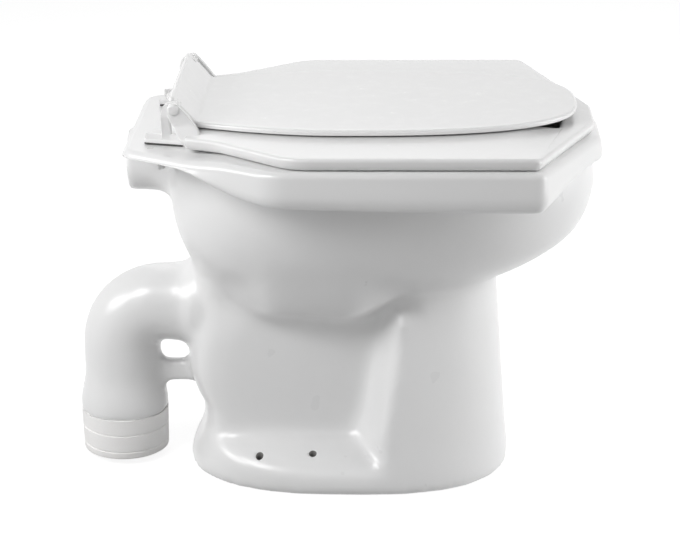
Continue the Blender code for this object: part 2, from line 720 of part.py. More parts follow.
def upright_drill(x, ahead, high, low, radius):
    """An upright bar that drills a hole between two heights."""
    return cylinder(place(x, ahead, high), place(x, ahead, low), radius, HOLE_SIDES)


def build_closet(glaze):
    """The ceramic casting: rim, bowl, pedestal, trap pipe, spigot and web in one piece."""
    closet = add_object("closet_body", build_rim(), glaze)
    combine(closet, build_tread_pocket(), "DIFFERENCE")
    body = add_object("bowl_and_pedestal_guide", body_solid())
    for side, side_name in SIDES:
        combine(body, build_recess(side, side_name, 0.0), "DIFFERENCE")
    combine(closet, body, "UNION")
    combine(closet, build_trap_pipe(), "UNION")
    spigot = bar_along(OPENING_BEHIND + CHANNEL_REACH + CERAMIC_WALL, SPIGOT_BEHIND, SPIGOT_RADIUS)
    combine(closet, add_object("spigot_guide", spigot), "UNION")
    web = box((-WEB_THICKNESS / 2, WEB_THICKNESS / 2),
              (TRAP_BEHIND + PIPE_RADIUS - WEB_BITE, -ANKLE_BEHIND - WEB_BITE / 2), (WEB_LOW, WEB_HIGH))
    combine(closet, add_object("web_guide", web), "UNION")
    combine(closet, build_hollow(), "DIFFERENCE")
    combine(closet, add_object("bowl_guide", loft(bowl_inside_rings())), "DIFFERENCE")
    combine(closet, build_waterway(), "DIFFERENCE")
    inlet = bar_along(OPENING_BEHIND, SPIGOT_BEHIND + CUT_OVERRUN, SPIGOT_BORE_RADIUS)
    combine(closet, add_object("inlet_guide", inlet), "DIFFERENCE")
    for side, side_name in SIDES:
        for number, ahead in enumerate(SCREW_HOLES_AHEAD, 1):
            drill = upright_drill(side * SCREW_HOLE_SPACING / 2, ahead, LEDGE_INNER_HEIGHT, SCREW_HOLE_FLOOR,
                                  SCREW_HOLE_RADIUS)
            combine(closet, add_object(f"screw_hole_guide_{side_name}_{number}", drill), "DIFFERENCE")
        drill = upright_drill(side * BOLT_SPACING / 2, -BOLTS_BEHIND, DECK_TOP + CUT_OVERRUN,
                              DECK_UNDERSIDE - CUT_OVERRUN, BOLT_HOLE_RADIUS)
        combine(closet, add_object(f"bolt_hole_guide_{side_name}", drill), "DIFFERENCE")
    return closet


def seat_dip_start():
    """The distance ahead where the seat starts to dip, just behind its front corners."""
    return NOSE_REACH - SEAT_NOSE_SETBACK - SEAT_CHAMFER_RUN - FRONT_CORNER_RADIUS


def seat_drop(ahead):
    """How far the seat dips towards the nose, like the rim under it."""
    start = seat_dip_start()
    return NOSE_STEP * max(ahead - start, 0.0) / (NOSE_REACH - start)


def seat_outer(inset):
    """The seat's outer outline, moved inwards by a distance."""
    nose = NOSE_REACH - SEAT_NOSE_SETBACK
    half = RIM_WIDTH / 2 - SEAT_INSET
    corners = ((NOSE_WIDTH / 2 - SEAT_INSET, nose), (half, nose - SEAT_CHAMFER_RUN),
               (half, -SEAT_SHOULDER_BEHIND), (SEAT_TAIL_WIDTH / 2, -SEAT_TAIL_BEHIND))
    radii = (NOSE_CORNER_RADIUS, FRONT_CORNER_RADIUS, SHOULDER_RADIUS, FRONT_CORNER_RADIUS)
    return rounded_outline(corners, radii, inset, (seat_dip_start(),))


def seat_inner(grow):
    """The outline of the seat's opening, moved outwards by a distance."""
    front = NOSE_REACH - SEAT_HOLE_SETBACK
    half = SEAT_HOLE_WIDTH / 2
    corners = ((SEAT_HOLE_NOSE_WIDTH / 2, front), (half, front - SEAT_HOLE_CHAMFER_RUN),
               (half, -SEAT_HOLE_SHOULDER_BEHIND), (SEAT_HOLE_TAIL_WIDTH / 2, -SEAT_HOLE_TAIL_BEHIND))
    radii = (SEAT_HOLE_FRONT_RADIUS, SEAT_HOLE_FRONT_RADIUS, SEAT_HOLE_REAR_RADIUS, SEAT_HOLE_REAR_RADIUS)
    return rounded_outline(corners, radii, -grow, (seat_dip_start(),))


def tail_point(along, below):
    """A point in the side view of the hinge tails: along the slope from the crease, below the lid's top."""
    return (-LID_CREASE_BEHIND - along * math.cos(TAIL_ANGLE) - below * math.sin(TAIL_ANGLE),
            LID_TOP + along * math.sin(TAIL_ANGLE) - below * math.cos(TAIL_ANGLE))


def crease_shift(below):
    """How far along the slope a face lies where it meets its own level plate, below the lid's top."""
    return -below * math.tan(TAIL_ANGLE / 2)


def build_seat(plastic):
    """The seat ring: skin, outer edge and inner edge, hollow below, with an upturned tail and two arms."""
    base = RIM_HEIGHT + SEAT_LIFT
    under_skin = SEAT_TOP - SEAT_SKIN
    rows = ((seat_outer(0.0), base), (seat_outer(0.0), SEAT_TOP - SEAT_EDGE_ROUND),
            (seat_outer(SEAT_EDGE_ROUND / 3), SEAT_TOP - SEAT_EDGE_ROUND / 3),
            (seat_outer(SEAT_EDGE_ROUND), SEAT_TOP),
            (seat_inner(SEAT_EDGE_ROUND), SEAT_TOP),
            (seat_inner(SEAT_EDGE_ROUND / 3), SEAT_TOP - SEAT_EDGE_ROUND / 3),
            (seat_inner(0.0), SEAT_TOP - SEAT_EDGE_ROUND), (seat_inner(0.0), base),
            (seat_inner(SEAT_SKIN), base), (seat_inner(SEAT_SKIN), under_skin),
            (seat_outer(SEAT_SKIN), under_skin), (seat_outer(SEAT_SKIN), base))
    rings = [[place(point.x, point.y, up - seat_drop(point.y)) for point in outline] for outline, up in rows]
    seat = add_object("seat_ring", loft(rings, closed=True), plastic)
    top = LID_THICKNESS + LID_GAP
    low = top + SEAT_TAIL_THICKNESS
    stop = HINGE_ALONG - SEAT_TAIL_STOP + KNUCKLE_RADIUS
    outline = [tail_point(crease_shift(top), top), tail_point(stop, top), tail_point(stop, low),
               tail_point(crease_shift(low), low)]
    root = -SEAT_TAIL_BEHIND + SEAT_SKIN
    outline = [(root, SEAT_TOP)] + outline + [(root, SEAT_TOP - SEAT_TAIL_THICKNESS)]
    tail = add_object("seat_tail_guide", prism_across(outline, -SEAT_KNUCKLE_OUTER, SEAT_KNUCKLE_OUTER))
    combine(seat, tail, "UNION")
    knuckle_top, knuckle_low = HINGE_BELOW - KNUCKLE_RADIUS, HINGE_BELOW + KNUCKLE_RADIUS
    heel = -SEAT_ARM_HEEL_BEHIND
    arm = [tail_point(HINGE_ALONG, knuckle_top), tail_point(SEAT_ARM_ELBOW_ALONG, knuckle_top + RUNNING_GAP),
           tail_point(SEAT_ARM_NECK_ALONG, SEAT_ARM_NECK_BELOW), (-SEAT_TAIL_BEHIND, SEAT_TOP), (root, SEAT_TOP),
           (root, base), (heel, base), (heel, SEAT_TOP - SEAT_THICKNESS / 3),
           tail_point(SEAT_ARM_ELBOW_ALONG, knuckle_low + SEAT_SKIN / 2), tail_point(HINGE_ALONG, knuckle_low)]
    for side, side_name in SIDES:
        inner, outer = side * SEAT_KNUCKLE_INNER, side * SEAT_KNUCKLE_OUTER
        combine(seat, add_object(f"seat_arm_guide_{side_name}", prism_across(arm, inner, outer)), "UNION")
        knuckle = hinge_bar(inner, outer, KNUCKLE_RADIUS)
        combine(seat, add_object(f"seat_knuckle_guide_{side_name}", knuckle), "UNION")
    combine(seat, add_object("seat_pin_bore_guide", pin_bore()), "DIFFERENCE")
    return seat


def hinge_bar(start_x, end_x, radius):
    """A bar on the hinge line between two distances to the side."""
    start, end = (place(x, HINGE_AHEAD, HINGE_HEIGHT) for x in (start_x, end_x))
    return cylinder(start, end, radius)


def pin_bore():
    """The line of the hinge pins, a running gap wider than them."""
    reach = SEAT_KNUCKLE_OUTER + CUT_OVERRUN
    return hinge_bar(-reach, reach, PIN_RADIUS + RUNNING_GAP)


def lid_outline(inset):
    """The lid's level part: a half oval in front, then sides that draw in to the crease."""
    front_reach = NOSE_REACH - LID_NOSE_SETBACK - LID_WIDEST_AHEAD - inset
    half = LID_WIDTH / 2 - inset
    crease_half = LID_CREASE_WIDTH / 2 - inset
    points = []
    for step in range(1, LID_FRONT_STEPS + 1):
        turn = math.pi / 2 * step / LID_FRONT_STEPS
        points.append(Vector((half * math.sin(turn) ** (2 / LID_SQUARENESS),
                              LID_WIDEST_AHEAD + front_reach * math.cos(turn) ** (2 / LID_SQUARENESS))))
    run = LID_WIDEST_AHEAD + LID_CREASE_BEHIND
    for step in range(1, LID_REAR_STEPS + 1):
        share = step / LID_REAR_STEPS
        points.append(Vector((half + (crease_half - half) * share ** LID_REAR_FULLNESS,
                              LID_WIDEST_AHEAD - run * share)))
    return points + [Vector((-point.x, point.y)) for point in reversed(points)]


def lid_ring(inset, up, below):
    """One level of the lid, with its tail point on the slope at the same depth below the top."""
    half = lid_outline(inset)
    half = half[:len(half) // 2]
    shift = crease_shift(below)
    crease = tail_point(shift, below)
    half[-1] = Vector((half[-1].x, crease[0]))
    points = [place(point.x, point.y, up) for point in half]
    for along in (TAIL_NECK, TAIL_LENGTH - inset):
        points.append(place(TAIL_TOP_WIDTH / 2 - inset, *tail_point(along, below)))
    return points + [Vector((-point.x, point.y, point.z)) for point in reversed(points)]


def build_lid(plastic):
    """The lid: a shell with a turned-down edge, and two knuckles under the top of its tail."""
    rings = [lid_ring(LID_SKIN, LID_TOP - LID_SKIN, LID_SKIN),
             lid_ring(LID_SKIN, LID_BASE, LID_THICKNESS),
             lid_ring(0.0, LID_BASE, LID_THICKNESS),
             lid_ring(0.0, LID_TOP - LID_EDGE_ROUND, LID_EDGE_ROUND),
             lid_ring(LID_EDGE_ROUND / 3, LID_TOP - LID_EDGE_ROUND / 3, LID_EDGE_ROUND / 3),
             lid_ring(LID_EDGE_ROUND, LID_TOP, 0.0)]
    lid = add_object("seat_lid", outline_slab(rings), plastic)
    for side, side_name in SIDES:
        inner = side * (LID_KNUCKLE_OUTER - LID_KNUCKLE_WIDTH)
        outer = side * (LID_KNUCKLE_OUTER - LID_EDGE_ROUND)
        knuckle = hinge_bar(inner, outer, KNUCKLE_RADIUS)
        combine(lid, add_object(f"lid_knuckle_guide_{side_name}", knuckle), "UNION")
    combine(lid, add_object("lid_pin_bore_guide", pin_bore()), "DIFFERENCE")
    return lid


def bracket_plate(side, low, high):
    """A plate under the leg between two heights, its outer edge drawn in towards the rear."""
    rear = -BRACKET_REAR_BEHIND
    front = rear + BRACKET_LENGTH
    corners = ((BRACKET_INNER_X, rear), (TOWER_OUTER - BRACKET_REAR_TAPER, rear),
               (TOWER_OUTER, (rear + front) / 2), (TOWER_OUTER, front), (BRACKET_INNER_X, front))
    return loft([[place(side * x, ahead, up) for x, ahead in corners] for up in (low, high)])


def build_bracket(side, side_name, plastic):
    """A hinge bracket: a bolted base plate and a leg that leans forward to the round eye of the pin."""
    bracket = add_object(f"hinge_bracket_{side_name}", bracket_plate(side, PLATE_BASE, PLATE_TOP), plastic)
    foot = PLATE_TOP - BRACKET_THICKNESS / 2
    foot_ahead = HINGE_AHEAD - TOWER_LEAN
    outline = [(foot_ahead - TOWER_WIDTH / 2, foot), (foot_ahead + TOWER_WIDTH / 2, foot),
               (HINGE_AHEAD - TOWER_ELBOW_BEHIND, HINGE_HEIGHT - TOWER_ELBOW_BELOW)]
    for step in range(TOWER_EYE_STEPS + 1):
        turn = math.pi * step / TOWER_EYE_STEPS
        outline.append((HINGE_AHEAD + TOWER_CROWN * math.cos(turn), HINGE_HEIGHT + TOWER_CROWN * math.sin(turn)))
    tower = prism_across(outline, side * TOWER_INNER, side * TOWER_OUTER)
    combine(bracket, add_object(f"tower_guide_{side_name}", tower), "UNION")
    combine(bracket, add_object(f"bracket_bore_guide_{side_name}", pin_bore()), "DIFFERENCE")
    x = side * BOLT_SPACING / 2
    drill = cylinder(place(x, -BOLTS_BEHIND, PLATE_TOP + CUT_OVERRUN),
                     place(x, -BOLTS_BEHIND, PLATE_BASE - CUT_OVERRUN), BOLT_RADIUS + RUNNING_GAP, HOLE_SIDES)
    combine(bracket, add_object(f"bracket_hole_guide_{side_name}", drill), "DIFFERENCE")
    return bracket


def build_pin(side, side_name, plastic):
    """A hinge pin with a round head outside the seat's arm."""
    start = side * (LID_KNUCKLE_OUTER - LID_KNUCKLE_WIDTH)
    head = side * (SEAT_KNUCKLE_OUTER + RUNNING_GAP)
    length = abs(head - start)
    profile = ((0.0, PIN_RADIUS), (length, PIN_RADIUS), (length, PIN_HEAD_RADIUS),
               (length + PIN_HEAD_THICKNESS, PIN_HEAD_RADIUS))
    pin = turned_bar(place(start, HINGE_AHEAD, HINGE_HEIGHT),
                     place(head, HINGE_AHEAD, HINGE_HEIGHT), profile)
    return add_object(f"hinge_pin_{side_name}", pin, plastic)


def build_gasket(side, side_name, rubber):
    """The rubber sheet between a bracket's plate and the deck."""
    low = DECK_TOP + RUNNING_GAP
    gasket = add_object(f"bracket_gasket_{side_name}", bracket_plate(side, low, low + GASKET_THICKNESS), rubber)
    x = side * BOLT_SPACING / 2
    drill = cylinder(place(x, -BOLTS_BEHIND, PLATE_TOP), place(x, -BOLTS_BEHIND, DECK_UNDERSIDE),
                     BOLT_RADIUS + RUNNING_GAP, HOLE_SIDES)
    combine(gasket, add_object(f"gasket_hole_guide_{side_name}", drill), "DIFFERENCE")
    return gasket


def build_fixing(side, side_name, plastic, rubber):
    """The seat bolt on one side: its cap, the bolt, and the washer and wing nut under the deck."""
    x = side * BOLT_SPACING / 2

    def on_axis(up):
        return place(x, -BOLTS_BEHIND, up)

    def wing_end(end_x, high, low):
        half = WING_THICKNESS / 2
        return [place(end_x, -BOLTS_BEHIND - half, low), place(end_x, -BOLTS_BEHIND + half, low),
                place(end_x, -BOLTS_BEHIND + half, high), place(end_x, -BOLTS_BEHIND - half, high)]

    head_base = PLATE_TOP + RUNNING_GAP
    head_top = head_base + BOLT_HEAD_THICKNESS
    washer_top = DECK_UNDERSIDE - RUNNING_GAP
    washer_base = washer_top - WASHER_THICKNESS
    nut_top = washer_base - RUNNING_GAP
    nut_base = nut_top - NUT_THICKNESS
    shank = head_base - nut_base + BOLT_TAIL
    profile = ((0.0, BOLT_HEAD_RADIUS), (BOLT_HEAD_THICKNESS, BOLT_HEAD_RADIUS),
               (BOLT_HEAD_THICKNESS, BOLT_RADIUS), (BOLT_HEAD_THICKNESS + shank, BOLT_RADIUS))
    add_object(f"fixing_bolt_{side_name}", turned_bar(on_axis(head_top), on_axis(nut_base), profile), plastic)

    cap_inner = BOLT_HEAD_RADIUS + RUNNING_GAP
    cap_hollow_top = head_top + RUNNING_GAP
    cap_height = cap_hollow_top + CAP_WALL - head_base
    cap_profile = ((0.0, CAP_RADIUS), (cap_height * CAP_SHOULDER_SHARE, CAP_RADIUS - CAP_WALL / 2),
                   (cap_height, CAP_RADIUS - CAP_WALL * 2))
    cap = add_object(f"bolt_cap_{side_name}",
                     turned_bar(on_axis(head_base), on_axis(head_base + cap_height), cap_profile), plastic)
    core = cylinder(on_axis(head_base - CUT_OVERRUN), on_axis(cap_hollow_top), cap_inner)
    combine(cap, add_object(f"cap_hollow_guide_{side_name}", core), "DIFFERENCE")

    washer = add_object(f"nut_washer_{side_name}",
                        cylinder(on_axis(washer_top), on_axis(washer_base), WASHER_RADIUS), rubber)
    nut = add_object(f"wing_nut_{side_name}",
                     cylinder(on_axis(nut_top), on_axis(nut_base), NUT_RADIUS), plastic)
    middle = (nut_top + nut_base) / 2
    for wing_side, wing_name in ((-1, "inner"), (1, "outer")):
        tip = x + wing_side * WING_REACH
        wing = loft([wing_end(x, middle, nut_base), wing_end(tip, middle - WING_RISE, nut_base - WING_RISE)])
        combine(nut, add_object(f"wing_guide_{side_name}_{wing_name}", wing), "UNION")
    for item, item_name in ((washer, "washer"), (nut, "nut")):
        drill = cylinder(on_axis(DECK_UNDERSIDE + CUT_OVERRUN), on_axis(nut_base - WING_RISE - CUT_OVERRUN),
                         BOLT_RADIUS + RUNNING_GAP, HOLE_SIDES)
        combine(item, add_object(f"{item_name}_bore_guide_{side_name}", drill), "DIFFERENCE")


def build_buffers(rubber):
    """Rubber feet: four that carry the seat on the rim, and four that carry the lid on the seat."""
    seat_low, seat_high = RIM_HEIGHT + RUNNING_GAP, SEAT_TOP - SEAT_SKIN - RUNNING_GAP
    lid_low, lid_high = SEAT_TOP + RUNNING_GAP, LID_TOP - LID_SKIN - RUNNING_GAP
    for side, side_name in SIDES:
        for ahead, end_name in zip(SEAT_BUFFERS_AHEAD, ("front", "rear")):
            x = side * (RIM_WIDTH / 2 - SEAT_BUFFER_INSET)
            foot = cylinder(place(x, ahead, seat_low), place(x, ahead, seat_high), SEAT_BUFFER_RADIUS)
            add_object(f"seat_buffer_{end_name}_{side_name}", foot, rubber)
        for ahead, end_name in zip(LID_BUFFERS_AHEAD, ("front", "rear")):
            x = side * (LID_WIDTH / 2 - LID_BUFFER_INSET)
            foot = cylinder(place(x, ahead, lid_low), place(x, ahead, lid_high), LID_BUFFER_RADIUS)
            add_object(f"lid_buffer_{end_name}_{side_name}", foot, rubber)


def main():
    """Builds every piece of the closet and its seat."""
    clear_scene()
    glaze = make_material("white_glaze", (0.86, 0.87, 0.88), 0.12)
    seat_plastic = make_material("seat_plastic", (0.84, 0.85, 0.86), 0.28)
    hinge_plastic = make_material("hinge_plastic", (0.83, 0.84, 0.85), 0.35)
    rubber = make_material("buffer_rubber", (0.75, 0.75, 0.74), 0.6)
    build_closet(glaze)
    build_seat(seat_plastic)
    build_lid(seat_plastic)
    for side, side_name in SIDES:
        build_bracket(side, side_name, hinge_plastic)
        build_pin(side, side_name, hinge_plastic)
        build_gasket(side, side_name, rubber)
        build_fixing(side, side_name, hinge_plastic, rubber)
    build_buffers(rubber)


main()
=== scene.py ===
# %% [markdown]
# # A pedestal closet with an S trap
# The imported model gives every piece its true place. This lesson dresses it: the casting gets
# soft, poured forms and a glaze, and the seat and lid get the rounded edges of a moulding.

import bmesh
import bpy
import numpy as np
from mathutils import Matrix, Vector


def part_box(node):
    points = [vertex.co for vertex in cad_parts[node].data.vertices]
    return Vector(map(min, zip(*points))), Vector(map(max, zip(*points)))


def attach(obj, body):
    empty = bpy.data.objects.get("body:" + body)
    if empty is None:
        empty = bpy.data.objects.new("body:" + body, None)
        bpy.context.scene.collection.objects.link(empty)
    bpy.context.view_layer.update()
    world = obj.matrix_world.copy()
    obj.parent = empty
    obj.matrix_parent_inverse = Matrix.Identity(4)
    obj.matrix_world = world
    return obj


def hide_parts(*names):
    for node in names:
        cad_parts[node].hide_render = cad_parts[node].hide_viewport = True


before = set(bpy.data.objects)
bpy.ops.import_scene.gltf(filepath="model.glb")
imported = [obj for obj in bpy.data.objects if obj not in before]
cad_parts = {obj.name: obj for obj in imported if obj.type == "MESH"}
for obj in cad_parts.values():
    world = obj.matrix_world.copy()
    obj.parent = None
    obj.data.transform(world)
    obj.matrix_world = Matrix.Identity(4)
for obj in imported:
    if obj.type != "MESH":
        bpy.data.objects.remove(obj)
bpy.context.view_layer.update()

# %% [markdown]
# ## Surfaces from grids
# Every new piece is a grid of points. Its columns run round the piece and its rows run along
# it, so a shape is two short formulas. The grid becomes a mesh in one go, seams and poles are
# welded, and the faces are turned outwards.

# %% Grid to mesh
def weld(mesh, distance=1e-6):
    """Closes seams and poles by merging points that share a place, and turns the faces outwards."""
    shape = bmesh.new()
    shape.from_mesh(mesh)
    bmesh.ops.remove_doubles(shape, verts=shape.verts, dist=distance)
    bmesh.ops.dissolve_degenerate(shape, edges=shape.edges, dist=distance)
    bmesh.ops.recalc_face_normals(shape, faces=shape.faces)
    shape.to_mesh(mesh)
    shape.free()


def surface(name, grid, ring=False, sharp=40):
    """A closed object from grid[row, column]: columns wrap round; rows wrap too when ring is set,
    and otherwise the first and last rows are capped."""
    rows, columns = grid.shape[:2]
    index = np.arange(rows * columns).reshape(rows, columns)
    lower = index if ring else index[:-1]
    upper = np.roll(index, -1, axis=0) if ring else index[1:]
    quads = np.stack([lower, np.roll(lower, -1, 1), np.roll(upper, -1, 1), upper], axis=-1)
    faces = quads.reshape(-1, 4).tolist()
    if not ring:
        faces += [index[0, ::-1].tolist(), index[-1].tolist()]
    mesh = bpy.data.meshes.new(name)
    mesh.from_pydata(grid.reshape(-1, 3).tolist(), [], faces)
    weld(mesh)
    mesh.shade_smooth()
    mesh.set_sharp_from_angle(angle=np.radians(sharp))
    piece = bpy.data.objects.new(name, mesh)
    bpy.context.collection.objects.link(piece)
    return piece


def stack(x, ahead, up):
    """Points from three arrays: to the side, towards the nose (which is -Y) and up."""
    x, ahead, up = np.broadcast_arrays(x, ahead, up)
    return np.stack([x, -ahead, up], axis=-1)


print("a point 1 m ahead lies at", stack(0, 1, 0))

# %% [markdown]
# ## Reading a profile
# A profile is a short table of measured heights and reaches. Between its rows a monotone cubic
# runs smoothly and never swings past them. Two surfaces that meet are blended by a smooth
# minimum, which leaves a fillet of a chosen width, as slip does in a mould.

# %% Smooth tables and fillets
def smooth_table(rows, at):
    """Reads (position, value) rows along a monotone cubic: each slope is the harmonic mean of
    its neighbours' slopes, or zero at a turning point."""
    place, value = np.array(rows).T
    at = np.clip(at, place[0], place[-1])
    width = np.diff(place)
    rise = np.diff(value) / width
    product = rise[:-1] * rise[1:]
    total = np.where(product > 0, rise[:-1] + rise[1:], 1.0)
    slope = np.concatenate([[rise[0]], np.where(product > 0, 2 * product / total, 0.0), [rise[-1]]])
    k = np.clip(np.searchsorted(place, at) - 1, 0, len(width) - 1)
    t = (at - place[k]) / width[k]
    return (value[k] * (1 + 2 * t) * (1 - t) ** 2 + slope[k] * width[k] * t * (1 - t) ** 2
            + value[k + 1] * t * t * (3 - 2 * t) + slope[k + 1] * width[k] * t * t * (t - 1))


def smooth_min(a, b, fillet):
    """The smaller of two values, rounded off where they are closer than the fillet."""
    near = np.maximum(fillet - np.abs(a - b), 0) / fillet
    return np.minimum(a, b) - near * near * fillet / 4


def smooth_max(a, b, fillet):
    """The larger of two values, rounded the same way."""
    return -smooth_min(-a, -b, fillet)


def ease(t):
    """An S curve from 0 to 1."""
    t = np.clip(t, 0, 1)
    return t * t * (3 - 2 * t)


def turns(columns):
    """Angles once round, in a row."""
    return np.linspace(0, 2 * np.pi, columns, endpoint=False)[None, :]


def superellipse(turn, power):
    """Cosine and sine of the turn, each with its size raised to 2 / power: a power of 2 gives a
    circle, and more a squarer ring."""
    return [np.sign(wave) * np.abs(wave) ** (2 / power) for wave in (np.cos(turn), np.sin(turn))]


print("two values of 1 meet at", smooth_min(1, 1, .4), "over a fillet of 0.4")

# %% [markdown]
# ## Bowl and pedestal
# The outer skin is an egg at every height: a fuller-than-oval ring whose front reach, rear
# reach and width are read from three profiles. Behind the front pillar a recess is drawn in on
# both sides, down to a ledge that carries the floor-screw holes, and the bowl bulges over it.
# Cutting it with a block would leave hard edges, so the side distance is held back by smooth
# limits instead, each with a fillet of its own.

# %% The body's profiles, as (height, reach) in metres
FOOT_POWER, POWER_FALL = 2.5, 0.35
RIM_HEIGHT, WALL = 0.390, 0.011
BODY_MIDDLE = 0.020
FRONT_PROFILE = ((0, .1890), (.004, .1925), (.050, .1890), (.116, .1842), (.182, .1800),
                 (.216, .1776), (.225, .1810), (.232, .1925), (.243, .2140), (.256, .2360),
                 (.271, .2560), (.284, .2670), (.307, .2770), (.328, .2805), (.350, .2780),
                 (.380, .2620))
REAR_PROFILE = ((0, .1590), (.004, .1628), (.012, .1620), (.036, .1520), (.058, .1465),
                (.072, .1465), (.088, .1545), (.121, .1625), (.160, .1600), (.200, .1545),
                (.224, .1530), (.245, .1585), (.272, .1690), (.294, .1740), (.330, .1770),
                (.380, .1780))
SIDE_PROFILE = ((0, .1212), (.004, .1250), (.060, .1190), (.130, .1115), (.214, .1030),
                (.223, .1045), (.232, .1127), (.243, .1247), (.255, .1348), (.271, .1442),
                (.283, .1499), (.307, .1574), (.333, .1625), (.355, .1650), (.380, .1630))
LEDGE = ((0, .3000), (.010, .2000), (.022, .1520), (.030, .1290), (.036, .1120), (.042, .0940),
         (.047, .0800), (.052, .0715), (.058, .0685), (.068, .0680))
UNDERSIDE = ((.170, .0680), (.178, .0700), (.186, .0760), (.193, .0870), (.200, .1020),
             (.208, .1250), (.220, .1600), (.240, .2200))
BELLY = ((.180, .0500), (.188, .0740), (.194, .0890), (.202, .1015), (.212, .1110),
         (.224, .1190), (.240, .1285), (.256, .1368), (.271, .1442), (.300, .1500))
RECESS_HALF = 0.068
LIFT_NOSE, LIFT_MIDDLE, LIFT_REAR = 0.026, 0.002, 0.022
RIDGE_LOW, RIDGE_HIGH, RIDGE_FLARE, RIDGE_CLOSING = 0.031, 0.050, 2.4, 0.75
DENT_AHEAD, DENT_UP, DENT_REACH, DENT_DEPTH = 0.079, 0.2055, 0.011, 0.011
print("foot", FRONT_PROFILE[1][1] + REAR_PROFILE[1][1], "m long")

# %% [markdown]
# ## The skin of the body
# At each height the egg is a superellipse. Its sides are then held back by the ledge below, the
# ridge in front and the belly above, whichever leaves the most, so the recess has soft corners
# on every side and the wall keeps one thickness when the same rings are drawn smaller.

# %% Rings of the body
def egg(up, columns, wall=0.0):
    """Rings of the body: a superellipse whose power falls from 2.5 at the foot to 2.15 at the
    rim, its halves stretched to the front and rear reach; the recess limits hold in its sides, and
    a small dent lies where the ridge runs out under the belly."""
    up = np.asarray(up)[:, None]
    power = FOOT_POWER - POWER_FALL * ease((up - .224) / .156)
    along, across = superellipse(turns(columns), power)
    front = smooth_table(FRONT_PROFILE, up) - BODY_MIDDLE - wall
    rear = smooth_table(REAR_PROFILE, up) + BODY_MIDDLE - wall
    ahead = BODY_MIDDLE + np.where(along > 0, front, rear) * along
    # The belly's lower edge climbs towards the nose and towards the rear.
    to_nose, to_rear = ease((ahead + wall - .012) / .070), ease((wall - .060 - ahead) / .060)
    lift = (LIFT_NOSE * to_nose - LIFT_MIDDLE * ease((ahead + .020) / .040)
            + LIFT_REAR * to_rear)
    widest = smooth_max(smooth_table(SIDE_PROFILE, up), smooth_table(BELLY, up - lift), .006)
    side = (widest - wall) * np.abs(across)
    # The recess ends in front at a ridge that leans forwards as it rises, and the wall up to the
    # ridge runs out less steeply with height.
    share = (up - .056) / .120
    start = RIDGE_LOW + (RIDGE_HIGH - RIDGE_LOW) * share + wall
    flare = RIDGE_FLARE - RIDGE_CLOSING * np.clip(share, 0, 1)
    front_wall = RECESS_HALF + (ahead - start) * flare
    recess = np.where(up < .12, smooth_table(LEDGE, up + wall),
                      smooth_table(UNDERSIDE, up - wall - lift))
    # Fillets are wider low down, where the ledge meets the walls.
    limit = smooth_max(recess, front_wall, .016 + .024 * ease((.085 - up) / .035)) - wall
    fillet = (.024 + .020 * ease((.062 - up) / .020)
              + (.030 * to_rear - .014) * ease((up - .150) / .040))
    side = smooth_min(side, np.maximum(limit, RECESS_HALF / 2), fillet)
    away = ((ahead - DENT_AHEAD) / DENT_REACH) ** 2 + ((up - DENT_UP) / DENT_REACH) ** 2
    side = side - DENT_DEPTH * np.exp(-away)
    return stack(np.where(across < 0, -side, side), ahead, up)


levels = [np.array([0, .0015, .004, .008, .014]), np.linspace(.020, .060, 50),
          np.linspace(.063, .150, 26), np.linspace(.152, .262, 74), np.linspace(.265, .380, 34)]
body = surface("body_outside", egg(np.concatenate(levels), 320))
print("body skin", len(body.data.polygons), "faces")

# %% [markdown]
# ## Trap pipe, spigot and web
# The pipe is a circle carried along a path: out of the pedestal, over a bend and down. Its
# radius swells where it grows out of the pedestal and again into the collar. The waterway
# inside follows the same path with its own radius, and so does the wall round it.

# %% A circle carried along a path
PIPE_HEIGHT, BEND, DIP = 0.180, 0.046, 0.048
RISER, FALL = -0.111, -0.238
PIPE_RADIUS, BORE, OUTLET_RADIUS, OUTLET_BORE = 0.0425, 0.0335, 0.049, 0.038
GLAZE_END = 0.052


def arc(centre, radius, start, end, steps):
    """Points (ahead, up) on a circle from one angle in degrees to another."""
    turn = np.radians(np.linspace(start, end, steps))
    return np.stack([centre[0] + radius * np.cos(turn), centre[1] + radius * np.sin(turn)], axis=-1)


def sweep(path, radii, columns=96):
    """Rings square to the path: centre + radius * (side * cos + normal * sin)."""
    tangent = np.gradient(path, axis=0)
    tangent /= np.linalg.norm(tangent, axis=1, keepdims=True)
    turn = turns(columns)
    lift = np.asarray(radii)[:, None] * np.sin(turn)
    return stack(np.asarray(radii)[:, None] * np.cos(turn), path[:, :1] - tangent[:, 1:] * lift,
                 path[:, 1:] + tangent[:, :1] * lift)


bend_low = PIPE_HEIGHT - BEND
rise = arc((RISER - BEND, bend_low), BEND, 0, 90, 16)
over = arc((FALL + BEND, bend_low), BEND, 90, 180, 24)
dip = arc((DIP + RISER, .114), DIP, 0, -180, 40)
down = np.stack([np.full(40, FALL), np.linspace(bend_low - .002, GLAZE_END, 40)], axis=-1)
level = np.stack([[RISER, -.135, -.150, -.158, -.166, -.174], [PIPE_HEIGHT] * 6], axis=-1)
pipe_path = np.concatenate([level, over, down])
root = np.exp(-np.clip(-.156 - pipe_path[:, 0], 0, None) / .008) * .010
collar = (OUTLET_RADIUS - PIPE_RADIUS) * ease((.102 - pipe_path[:, 1]) / .040)
pipe = surface("pipe_outside", sweep(pipe_path, PIPE_RADIUS + root + collar))
bore_path = np.concatenate([[[2 * DIP + RISER, .150]], dip, rise, over,
                            [[FALL, .110], [FALL, .074], [FALL, .060], [FALL, GLAZE_END - .01]]])
bore_radii = np.full(len(bore_path), BORE)
bore_radii[-2:] = OUTLET_BORE
waterway = surface("waterway", sweep(bore_path, bore_radii, 64))
trap_wall = surface("trap_wall", sweep(bore_path[:-24], bore_radii[:-24] + WALL, 64))


